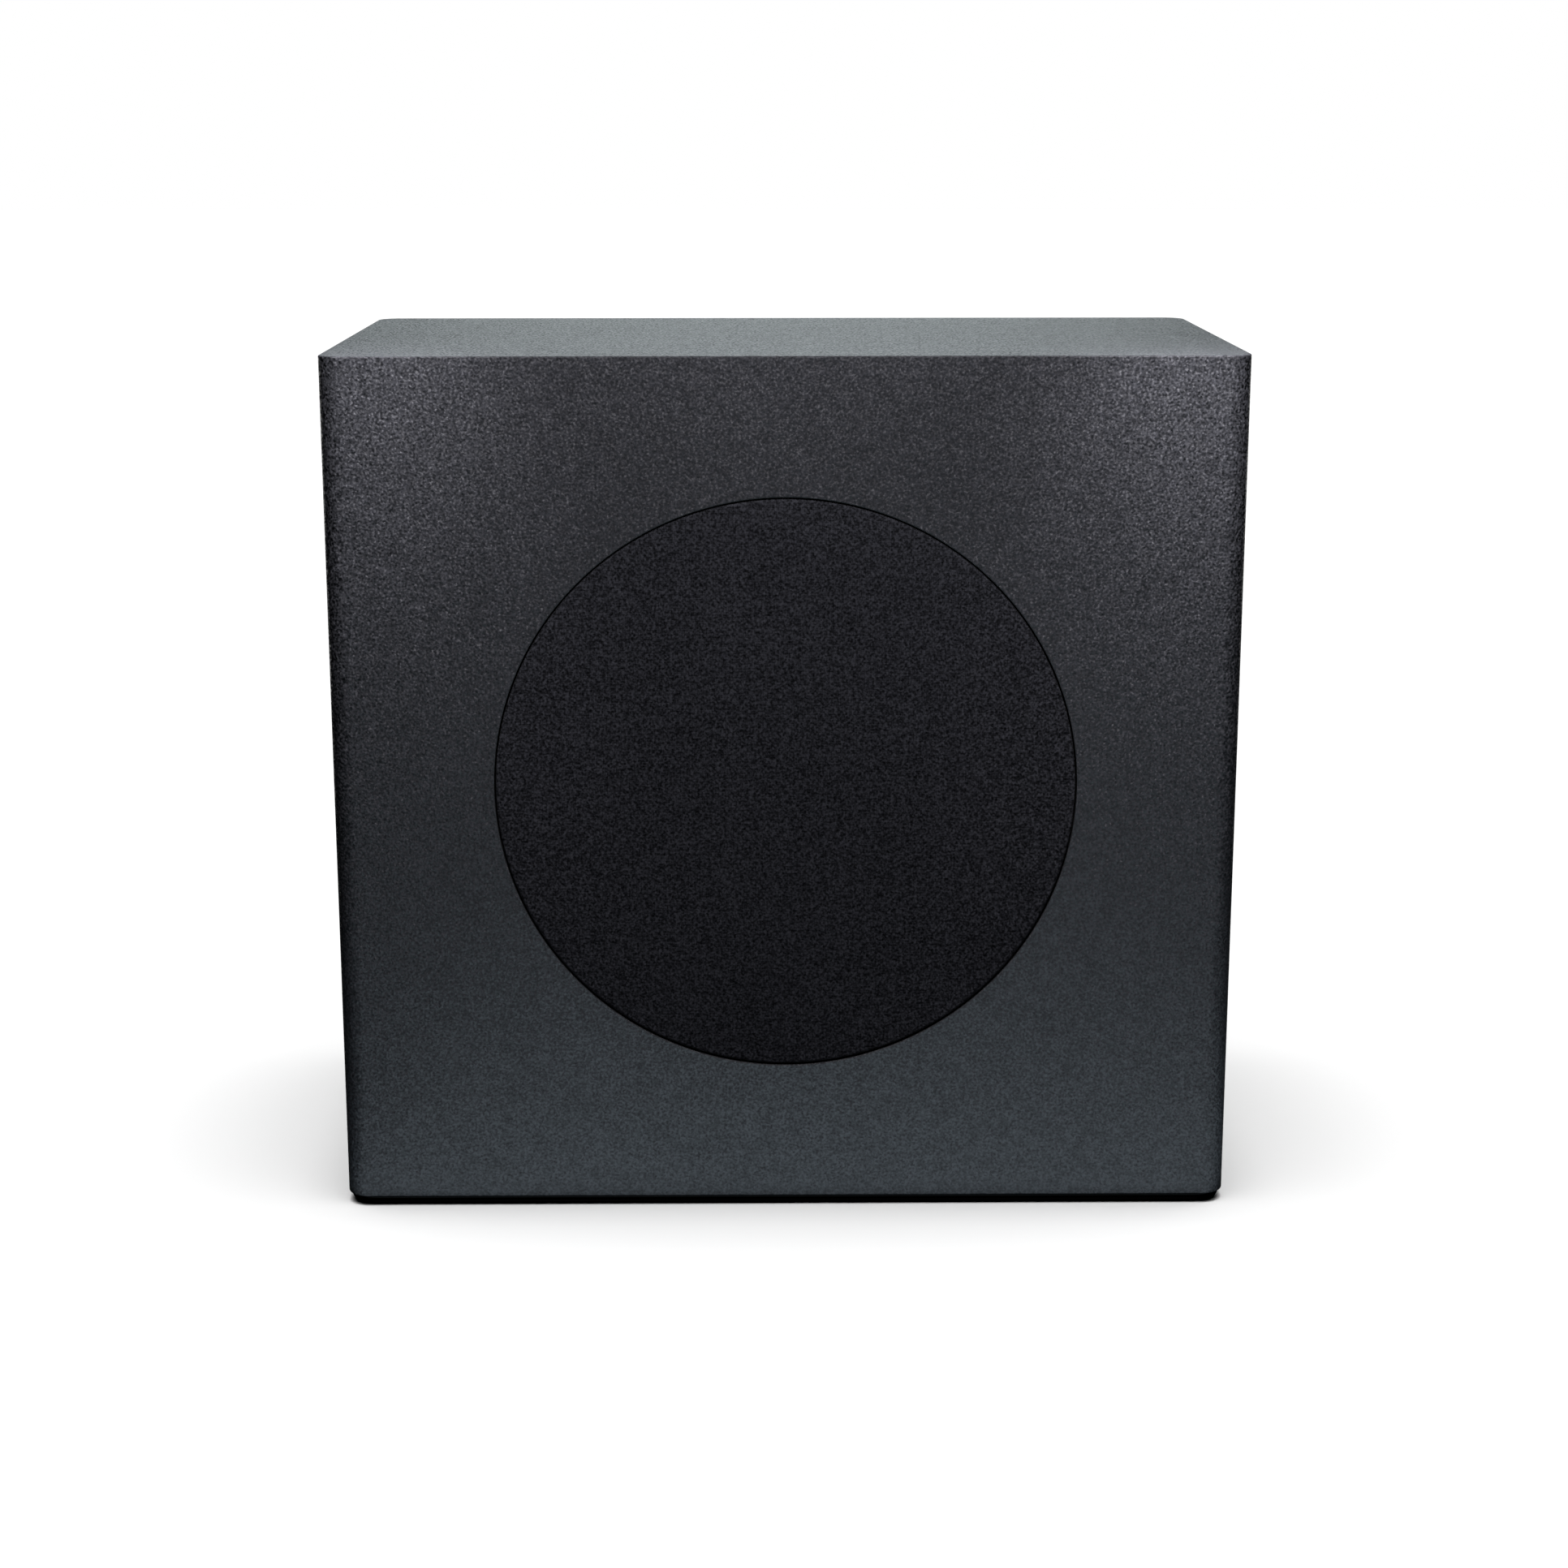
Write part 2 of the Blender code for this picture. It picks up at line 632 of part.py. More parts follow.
def make_surround(material, centre):
    """The half-roll rubber edge, with a lip glued to the cone and one glued to the flange."""
    thickness = 0.001
    lip = 0.004
    roll_middle = (CONE_RADIUS + BASKET_OPENING + 0.001) / 2
    roll_radius = roll_middle - CONE_RADIUS
    arc_steps = 6
    arcs = []
    for radius in (roll_radius, roll_radius - thickness):
        angles = [math.pi * step / arc_steps for step in range(arc_steps + 1)]
        level = -GAP - thickness
        arcs.append([(roll_middle - radius * math.cos(a), level - radius * math.sin(a)) for a in angles])
    outer_end = roll_middle + roll_radius + lip
    front = [(CONE_RADIUS - lip, -GAP - thickness)] + arcs[0] + [(outer_end, -GAP - thickness)]
    back = [(outer_end, -GAP), (arcs[1][-1][0], -GAP)] + arcs[1][::-1] + [(arcs[1][0][0], -GAP)]
    back.append((CONE_RADIUS - lip, -GAP))
    turned_object("woofer_surround", front + back, SOFT_STEPS, material, centre)


def cone_depth(radius):
    """Depth of the cone's front face: a shallow curve from its flat rim down to its neck."""
    rim = CONE_RADIUS - 0.004
    depth = 0.025
    return depth * (1 - ((radius - NECK_RADIUS) / (rim - NECK_RADIUS)) ** 1.12)


def make_cone(material, centre):
    thickness = 0.001
    rim = CONE_RADIUS - 0.004
    steps = 4
    radii = [NECK_RADIUS + (rim - NECK_RADIUS) * step / steps for step in range(steps + 1)]
    front = [(radius, cone_depth(radius)) for radius in radii] + [(CONE_RADIUS, 0)]
    turned_object("woofer_cone", thick_curve(front, thickness), SOFT_STEPS, material, centre)


def make_dust_cap(material, centre):
    radius, height, thickness = 0.036, 0.011, 0.0008
    base = cone_depth(radius) - GAP - thickness - 0.0004
    steps = 4
    front = []
    for step in range(steps + 1):
        share = step / steps
        front.append((radius * share, base - height * (1 - share**2)))
    turned_object("dust_cap", thick_curve(front, thickness), SOFT_STEPS, material, centre)


def make_spider(material, centre):
    """The corrugated disc that centres the voice coil."""
    thickness = 0.0008
    middle = SPIDER_LANDING_DEPTH - GAP - thickness
    roll_start, roll_end = 0.023, 0.050
    waves, height, steps = 2, 0.0016, 8
    front = [(NECK_RADIUS, middle)]
    for step in range(steps + 1):
        share = step / steps
        radius = roll_start + (roll_end - roll_start) * share
        front.append((radius, middle + height * math.sin(math.tau * waves * share)))
    front.append((SPIDER_RADIUS, middle))
    turned_object("spider", thick_curve(front, thickness), SOFT_STEPS, material, centre)


def make_motor(materials, centre):
    """Former and voice coil on the cone; top plate, magnet and pole on the basket."""
    former_bore = FORMER_RADIUS - 0.0004
    former_start, former_end = 0.0235, 0.066
    former = [(former_bore, former_start), (FORMER_RADIUS, former_start)]
    former += [(FORMER_RADIUS, former_end), (former_bore, former_end)]
    turned_object("coil_former", former, MEDIUM_STEPS, materials["aluminium"], centre)
    coil_inner, coil_outer = FORMER_RADIUS + GAP, FORMER_RADIUS + 0.001
    coil_start, coil_end = 0.0503, 0.0643
    coil = [(coil_inner, coil_start), (coil_outer, coil_start)]
    coil += [(coil_outer, coil_end), (coil_inner, coil_end)]
    turned_object("voice_coil", coil, MEDIUM_STEPS, materials["copper"], centre)
    plate_start = BASKET_DEPTH + GAP
    plate_end = plate_start + TOP_PLATE_THICKNESS
    bore = coil_outer + 0.0006
    ring = [(bore, plate_start), (PLATE_RADIUS, plate_start), (PLATE_RADIUS, plate_end), (bore, plate_end)]
    turned_object("top_plate", ring, MEDIUM_STEPS, materials["zinc"], centre)
    magnet_start = plate_end + GAP
    magnet_end = magnet_start + MAGNET_THICKNESS
    magnet_bore, chamfer = 0.030, 0.0015
    magnet = [
        (magnet_bore, magnet_start),
        (MAGNET_RADIUS - chamfer, magnet_start),
        (MAGNET_RADIUS, magnet_start + chamfer),
        (MAGNET_RADIUS, magnet_end - chamfer),
        (MAGNET_RADIUS - chamfer, magnet_end),
        (magnet_bore, magnet_end),
    ]
    turned_object("ring_magnet", magnet, MEDIUM_STEPS, materials["ferrite"], centre)
    back_start = magnet_end + GAP
    back_end = back_start + TOP_PLATE_THICKNESS
    vent = 0.005
    pole = [
        (vent, BASKET_DEPTH),
        (POLE_RADIUS, BASKET_DEPTH),
        (POLE_RADIUS, back_start),
        (PLATE_RADIUS - chamfer, back_start),
        (PLATE_RADIUS, back_start + chamfer),
        (PLATE_RADIUS, back_end),
        (vent, back_end),
    ]
    turned_object("pole_yoke", pole, MEDIUM_STEPS, materials["zinc"], centre)


def make_woofer_terminals(materials, centre):
    """Terminal strip outside a basket window, and the two braided leads from it to the cone."""
    strip_low, strip_high = (TERMINAL_X - 0.004, 0.018, -0.010), (TERMINAL_X, 0.030, 0.010)
    shape = bmesh.new()
    add_box(shape, strip_low, strip_high)
    make_object("woofer_terminals", shape, materials["plastic"], parent=centre)
    side = 0.006
    radius, spacing = 0.0006, 0.005
    for name, height in (("upper_tinsel_lead", side), ("lower_tinsel_lead", -side)):
        corners = [
            (0.0780, 0.0250, height),
            (0.0690, 0.0275, height),
            (0.0580, 0.0250, height),
            (0.0500, 0.0165, height),
        ]
        cable_object(name, corners, radius, spacing, materials["copper"], centre)


def make_woofer(materials):
    fixed = make_empty("woofer_centre", (0, DRIVER_FACE, WOOFER_Z))
    moving = make_empty("cone_line", (0, DRIVER_FACE, WOOFER_Z))
    make_basket(materials["steel"], fixed)
    make_front_gasket(materials["foam"], fixed)
    make_surround(materials["rubber"], fixed)
    make_spider(materials["weave"], fixed)
    make_cone(materials["paper"], moving)
    make_dust_cap(materials["paper"], moving)
    make_motor(materials, moving)
    make_woofer_terminals(materials, fixed)
    make_woofer_screws(materials["steel"])


# ---------------------------------------------------------------- port and electronics


def make_port(material):
    """A tube with a round flare at the back of the cabinet and a smaller one at its inner end."""
    wall = 0.002
    face = PORT_FACE
    flange = PORT_FLANGE_THICKNESS
    mouth = PORT_FLANGE - 0.005
    flare = mouth - PORT_RADIUS
    inner_flare = 0.005
    inner_end = BACK - PORT_LENGTH
    steps = 4
    quarter = [math.pi / 2 * step / steps for step in range(steps + 1)]
    bore = [(mouth - flare * math.sin(a), face - flare * (1 - math.cos(a))) for a in quarter]
    throat = inner_end + inner_flare
    for a in quarter:
        bore.append((PORT_RADIUS + inner_flare * (1 - math.cos(a)), throat - inner_flare * math.sin(a)))
    outside = [(PORT_RADIUS + inner_flare + wall, inner_end), (PORT_RADIUS + wall, throat + wall)]
    outside += [(PORT_RADIUS + wall, face - flare - wall), (mouth, face - flange - wall)]
    outside += [(mouth, face - flange), (PORT_FLANGE, face - flange), (PORT_FLANGE, face)]
    turned_object("port_tube", bore + outside, MEDIUM_STEPS, material, origin=(0, 0, PORT_Z))


def make_amplifier_plate(material):
    shape = bmesh.new()
    add_prism(shape, plate_outline(0), PLATE_INSIDE, PLATE_FACE, "Y")
    plate = make_object("amplifier_plate", shape, material)
    holes = bmesh.new()
    low, high = PLATE_INSIDE - 0.001, BACK
    half_x, half_z = INLET_CUTOUT[0] / 2 + GAP, INLET_CUTOUT[1] / 2 + GAP
    corner = 0.003
    outline = rounded_outline(
        (INLET_CENTRE[0] - half_x, INLET_CENTRE[1] - half_z),
        (INLET_CENTRE[0] + half_x, INLET_CENTRE[1] + half_z),
        [corner] * 4,
        steps=3,
    )
    add_prism(holes, outline, low, high, "Y")
    add_rod(holes, BUTTON_HOLE, low, high, SMALL_STEPS, centre=BUTTON_CENTRE)
    add_rod(holes, LIGHT_HOLE, low, high, SCREW_STEPS, centre=LIGHT_CENTRE)
    screw_hole = 0.0020
    for place in plate_screw_places():
        add_rod(holes, screw_hole, low, high, SCREW_STEPS, centre=place)
    cut(plate, holes)
    posts = bmesh.new()
    post_radius, post_inset = 0.003, 0.006
    root = PLATE_INSIDE + PLATE_THICKNESS / 2
    column = BOARD_HALF_WIDTH - post_inset
    for across in (-column, column):
        for up in (BOARD_LOW + post_inset, BOARD_HIGH - post_inset):
            add_rod(posts, post_radius, BOARD_FRONT + GAP, root, SCREW_STEPS, centre=(across, up))
    cut(plate, posts, "UNION")


def make_plate_seal(material):
    shape = bmesh.new()
    high = PLATE_INSIDE - GAP
    low = high - SEAL_THICKNESS
    edge_inset, screw_hole = 0.0005, 0.0021
    add_prism(shape, plate_outline(-edge_inset), low, high, "Y")
    seal = make_object("plate_seal", shape, material)
    past = 0.001
    holes = bmesh.new()
    add_prism(holes, plate_outline(-WINDOW_INSET), low - past, high + past, "Y")
    for place in plate_screw_places():
        add_rod(holes, screw_hole, low - past, high + past, SCREW_STEPS, centre=place)
    cut(seal, holes)


def make_plate_screws(material):
    head, head_height, shaft, length = 0.0034, 0.0018, 0.0015, 0.0080
    for index, (across, up) in enumerate(plate_screw_places()):
        profile = [
            (0, GAP + head_height),
            (head * 0.65, GAP + head_height),
            (head, GAP + head_height / 2),
            (head, GAP),
            (shaft, GAP),
            (shaft, shaft - length),
            (0, -length),
        ]
        origin = (across, PLATE_FACE, up)
        turned_object(f"plate_screw_{index + 1}", profile, SCREW_STEPS, material, origin=origin)


def make_mains_inlet(material):
    """A two-pin inlet: a flanged body with a figure-eight socket for the mains lead."""
    flange, body_depth = 0.0015, 0.0145
    flange_low = PLATE_FACE + GAP
    half = (0.0140, 0.0090)
    low = (INLET_CENTRE[0] - half[0], INLET_CENTRE[1] - half[1])
    high = (INLET_CENTRE[0] + half[0], INLET_CENTRE[1] + half[1])
    corner = 0.003
    shape = bmesh.new()
    add_prism(shape, rounded_outline(low, high, [corner] * 4, steps=3), flange_low, flange_low + flange, "Y")
    inlet = make_object("mains_inlet", shape, material)
    body = bmesh.new()
    half = (INLET_CUTOUT[0] / 2, INLET_CUTOUT[1] / 2)
    low = (INLET_CENTRE[0] - half[0], INLET_CENTRE[1] - half[1])
    high = (INLET_CENTRE[0] + half[0], INLET_CENTRE[1] + half[1])
    outline = rounded_outline(low, high, [corner] * 4, steps=3)
    add_prism(body, outline, flange_low - body_depth, flange_low + flange / 2, "Y")
    cut(inlet, body, "UNION")
    socket = bmesh.new()
    end_radius, half_length = 0.0042, 0.0078
    low = (INLET_CENTRE[0] - half_length, INLET_CENTRE[1] - end_radius)
    high = (INLET_CENTRE[0] + half_length, INLET_CENTRE[1] + end_radius)
    floor = flange_low - body_depth + 0.0025
    outline = rounded_outline(low, high, [end_radius - 0.0001] * 4, steps=4)
    add_prism(socket, outline, floor, BACK + 0.001, "Y")
    cut(inlet, socket)
    pins = bmesh.new()
    pin_radius, pin_side, pin_length = 0.0012, 0.0033, 0.0075
    for side in (-pin_side, pin_side):
        centre = (INLET_CENTRE[0] + side, INLET_CENTRE[1])
        add_rod(pins, pin_radius, floor - 0.001, floor + pin_length, SCREW_STEPS, centre=centre)
    cut(inlet, pins, "UNION")


def make_panel_controls(materials):
    """The pairing button, the sprung switch behind it, and the light pipe of the status light."""
    button_radius, collar, proud, edge = 0.0030, 0.0042, 0.0012, 0.0005
    stem, collar_end = 0.0015, -PLATE_THICKNESS - 0.0013
    switch_height, switch_half, bore, bore_depth = 0.0038, 0.0030, 0.0019, 0.0026
    board_level = BOARD_FRONT + GAP
    stem_end = board_level + switch_height - 0.0008 - PLATE_FACE
    profile = [
        (0, proud),
        (button_radius - edge, proud),
        (button_radius, proud - edge),
        (button_radius, -PLATE_THICKNESS - GAP),
        (collar, -PLATE_THICKNESS - GAP),
        (collar, collar_end),
        (stem, collar_end),
        (stem, stem_end),
        (0, stem_end),
    ]
    origin = (BUTTON_CENTRE[0], PLATE_FACE, BUTTON_CENTRE[1])
    turned_object("pairing_button", profile, SMALL_STEPS, materials["plastic"], origin=origin)
    low = (BUTTON_CENTRE[0] - switch_half, board_level, BUTTON_CENTRE[1] - switch_half)
    high = (BUTTON_CENTRE[0] + switch_half, board_level + switch_height, BUTTON_CENTRE[1] + switch_half)
    switch = box_object("pairing_switch", low, high, materials["plastic"])
    hollow = bmesh.new()
    add_rod(hollow, bore, high[1] - bore_depth, high[1] + edge, SCREW_STEPS, centre=BUTTON_CENTRE)
    cut(switch, hollow)
    lens, shoulder, dome = 0.0018, 0.0030, 0.0004
    profile = [
        (0, dome),
        (lens, 0.0),
        (lens, -PLATE_THICKNESS - GAP),
        (shoulder, -PLATE_THICKNESS - GAP),
        (shoulder, board_level - PLATE_FACE),
        (0, board_level - PLATE_FACE),
    ]
    origin = (LIGHT_CENTRE[0], PLATE_FACE, LIGHT_CENTRE[1])
    turned_object("status_light", profile, SCREW_STEPS, materials["light"], origin=origin)


def make_heatsink(material):
    """A finned extrusion standing on the board."""
    left, right = -0.050, -0.014
    low, high = 0.066, 0.126
    base, fin, height = 0.004, 0.002, 0.022
    fins = 5
    pitch = (right - left - fin) / (fins - 1)
    outline = [(left, PART_REAR), (right, PART_REAR)]
    for index in reversed(range(fins)):
        start = left + pitch * index
        outline += [(start + fin, PART_REAR - height), (start, PART_REAR - height)]
        if index:
            outline += [(start, PART_REAR - base), (start - pitch + fin, PART_REAR - base)]
    shape = bmesh.new()
    add_prism(shape, outline, low, high, "Z")
    make_object("heatsink", shape, material)


def make_transformer(material):
    """A ferrite core with its winding round the middle."""
    left, right = 0.010, 0.044
    low, high = 0.100, 0.112
    height, feet = 0.026, 0.003
    overhang, bulge, corner = 0.004, 0.008, 0.004
    core_low = (left, PART_REAR - height, low)
    core = box_object("transformer", core_low, (right, PART_REAR, high), material)
    winding = bmesh.new()
    winding_low = (left + overhang, low - bulge)
    winding_high = (right - overhang, high + bulge)
    outline = rounded_outline(winding_low, winding_high, [corner] * 4, steps=2)
    add_prism(winding, outline, PART_REAR - height + feet, PART_REAR - feet, "Y")
    cut(core, winding, "UNION")


def make_capacitor(material):
    radius, length = 0.0110, 0.030
    groove_depth, groove, groove_width = 0.0006, 0.0035, 0.001
    profile = [
        (0, -length),
        (radius - groove_depth, -length),
        (radius, -length + groove_depth),
        (radius, -groove - groove_width),
        (radius - groove_depth, -groove),
        (radius, groove_width - groove),
        (radius, 0),
        (0, 0),
    ]
    origin = (0.036, PART_REAR, 0.070)
    turned_object("smoothing_capacitor", profile, SMALL_STEPS, material, origin=origin)


def make_wireless_module(material):
    """A small daughter board with a shielding can."""
    board_left, board_right = -0.036, -0.006
    can_left, can_right = -0.030, -0.010
    low, high = 0.146, 0.168
    board_back = PART_REAR - 0.0012
    can_back = PART_REAR - 0.0035
    outline = [
        (board_left, PART_REAR),
        (board_right, PART_REAR),
        (board_right, board_back),
        (can_right, board_back),
        (can_right, can_back),
        (can_left, can_back),
        (can_left, board_back),
        (board_left, board_back),
    ]
    shape = bmesh.new()
    add_prism(shape, outline, low, high, "Z")
    make_object("wireless_module", shape, material)


def make_board(materials):
    low = (-BOARD_HALF_WIDTH, BOARD_REAR, BOARD_LOW)
    high = (BOARD_HALF_WIDTH, BOARD_FRONT, BOARD_HIGH)
    box_object("main_board", low, high, materials["laminate"])
    make_heatsink(materials["aluminium"])
    make_transformer(materials["ferrite"])
    make_capacitor(materials["plastic"])
    make_wireless_module(materials["zinc"])


def make_speaker_cable(material):
    """The cable from the board to the woofer's terminals, clipped inside the cabinet."""
    board_end = (0.047, PART_REAR, 0.163)
    corners = [
        (TERMINAL_X + GAP, DRIVER_FACE + 0.024, WOOFER_Z),
        (0.0960, DRIVER_FACE + 0.025, 0.182),
        (0.1180, -0.034, 0.172),
        (0.1220, 0.004, 0.158),
        (0.1020, 0.036, 0.150),
        (0.0700, 0.052, 0.156),
        (board_end[0], board_end[1] - 0.016, board_end[2]),
        board_end,
    ]
    cable_object("speaker_cable", corners, radius=0.0022, spacing=0.011, material=material)


def main():
    clear_scene()
    materials = make_materials()
    make_wrap(materials["wrap"])
    make_front_baffle(materials["dark_board"])
    make_driver_baffle(materials["dark_board"])
    make_back_panel(materials["board"])
    make_plain_panels(materials["board"])
    make_wadding(materials["wadding"])
    make_base(materials)
    make_grille(materials)
    make_grille_sockets(materials["rubber"])
    make_woofer(materials)
    make_port(materials["plastic"])
    make_amplifier_plate(materials["plastic"])
    make_plate_seal(materials["foam"])
    make_plate_screws(materials["steel"])
    make_mains_inlet(materials["plastic"])
    make_panel_controls(materials)
    make_board(materials)
    make_speaker_cable(materials["rubber"])


main()
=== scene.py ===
"""Looks of the compact wireless subwoofer: fine meshes, materials, studio light and camera.
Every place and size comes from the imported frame. Metres, +Z up, the grille faces -Y."""

import math
import random

import bmesh
import bpy
from mathutils import Matrix, Vector, noise


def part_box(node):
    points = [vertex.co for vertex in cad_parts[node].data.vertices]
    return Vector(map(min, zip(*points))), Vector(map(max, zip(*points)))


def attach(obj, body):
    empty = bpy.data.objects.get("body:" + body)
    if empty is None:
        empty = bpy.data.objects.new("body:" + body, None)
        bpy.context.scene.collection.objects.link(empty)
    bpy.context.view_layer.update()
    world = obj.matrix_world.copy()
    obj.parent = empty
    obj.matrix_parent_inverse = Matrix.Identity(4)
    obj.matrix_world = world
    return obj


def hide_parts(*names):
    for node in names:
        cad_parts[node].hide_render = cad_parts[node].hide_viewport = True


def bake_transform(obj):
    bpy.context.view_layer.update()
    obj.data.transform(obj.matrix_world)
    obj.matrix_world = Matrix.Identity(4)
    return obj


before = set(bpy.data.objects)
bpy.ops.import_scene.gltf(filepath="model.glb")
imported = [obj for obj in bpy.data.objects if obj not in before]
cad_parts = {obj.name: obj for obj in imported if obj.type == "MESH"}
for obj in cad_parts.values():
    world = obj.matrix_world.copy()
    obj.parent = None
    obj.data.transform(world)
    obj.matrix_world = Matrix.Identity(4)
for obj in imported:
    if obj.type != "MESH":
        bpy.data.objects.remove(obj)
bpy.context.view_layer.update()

GAP = 0.0003  # clearance that the frame keeps between touching pieces
MM = 0.001

# Roundness
FINE_RING = 240
RING = 160
WHEEL = 72
SMALL_WHEEL = 32
ARC = 5
SHARP_ANGLE = math.radians(38)


class Place:
    """A CAD node's box: its corners, middle and half sizes, and its centre as seen from the front."""

    def __init__(self, node):
        self.low, self.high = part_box(node)
        self.middle = (self.low + self.high) / 2
        self.half = (self.high - self.low) / 2
        self.centre = (self.middle.x, self.middle.z)


WRAP = Place("cabinet_wrap")
CLOTH = Place("grille_cloth")
RING_FRAME = Place("grille_frame")
BASKET = Place("woofer_basket")
CONE = Place("woofer_cone")
PORT = Place("port_tube")
PLATE = Place("amplifier_plate")
BOARD = Place("main_board")
WIDTH = WRAP.high.x - WRAP.low.x
FRONT = WRAP.low.y
BACK = WRAP.high.y
DRIVER_FACE = BASKET.low.y
MIDDLE = BASKET.centre
WOOFER_X, WOOFER_Z = MIDDLE


# ---------------------------------------------------------------- outlines


def softened(corners, closed=True, steps=ARC):
    """The outline through (first, second, radius) corners, with an arc of that radius at each."""
    points = []
    last = len(corners) - 1
    for index, (first, second, radius) in enumerate(corners):
        here = Vector((first, second))
        if radius == 0 or (not closed and index in (0, last)):
            points.append((first, second))
            continue
        to_before = (Vector(corners[index - 1][:2]) - here).normalized()
        to_after = (Vector(corners[(index + 1) % len(corners)][:2]) - here).normalized()
        half = to_before.angle(to_after) / 2
        centre = here + (to_before + to_after).normalized() * (radius / math.sin(half))
        start = here + to_before * (radius / math.tan(half)) - centre
        end = here + to_after * (radius / math.tan(half)) - centre
        sweep = start.angle(end)
        for step in range(steps + 1):
            share = step / steps
            arm = math.sin((1 - share) * sweep) * start + math.sin(share * sweep) * end
            points.append(tuple(centre + arm / math.sin(sweep)))
    return points


def rectangle(low, high, radius, steps=ARC):
    """A rectangle with round corners, anticlockwise from its low corner."""
    corners = ((low[0], low[1]), (high[0], low[1]), (high[0], high[1]), (low[0], high[1]))
    return softened([(first, second, radius) for first, second in corners], steps=steps)


def turned_about(outline, angle, centre):
    """An outline turned by an angle and moved to a centre."""
    along = Vector((math.cos(angle), math.sin(angle)))
    side = Vector((-along.y, along.x))
    return [tuple(Vector(centre) + along * reach + side * across) for reach, across in outline]


def band(inner, outer, low, high, *radii):
    """A ring's section: its four corners in order, from the inner low one, each with its radius."""
    return list(zip((inner, outer, outer, inner), (low, low, high, high), radii))


def placed(first, second, level, axis="Y"):
    """A point from its two coordinates across the axis and its level along it."""
    return {"X": (level, first, second), "Y": (first, level, second), "Z": (first, second, level)}[axis]


# ---------------------------------------------------------------- shapes


def added(name, data):
    """A new object in the scene for this data."""
    result = bpy.data.objects.new(name, data)
    bpy.context.scene.collection.objects.link(result)
    return result


def frames(route, normal=None):
    """Each point of a route, with two directions across it that turn as little as they can."""
    for place, before, after in zip(route, [route[0]] + route[:-1], route[1:] + [route[-1]]):
        tangent = (after - before).normalized()
        normal = normal or tangent.orthogonal().normalized()
        normal = (normal - tangent * normal.dot(tangent)).normalized()
        yield place, normal, tangent.cross(normal)


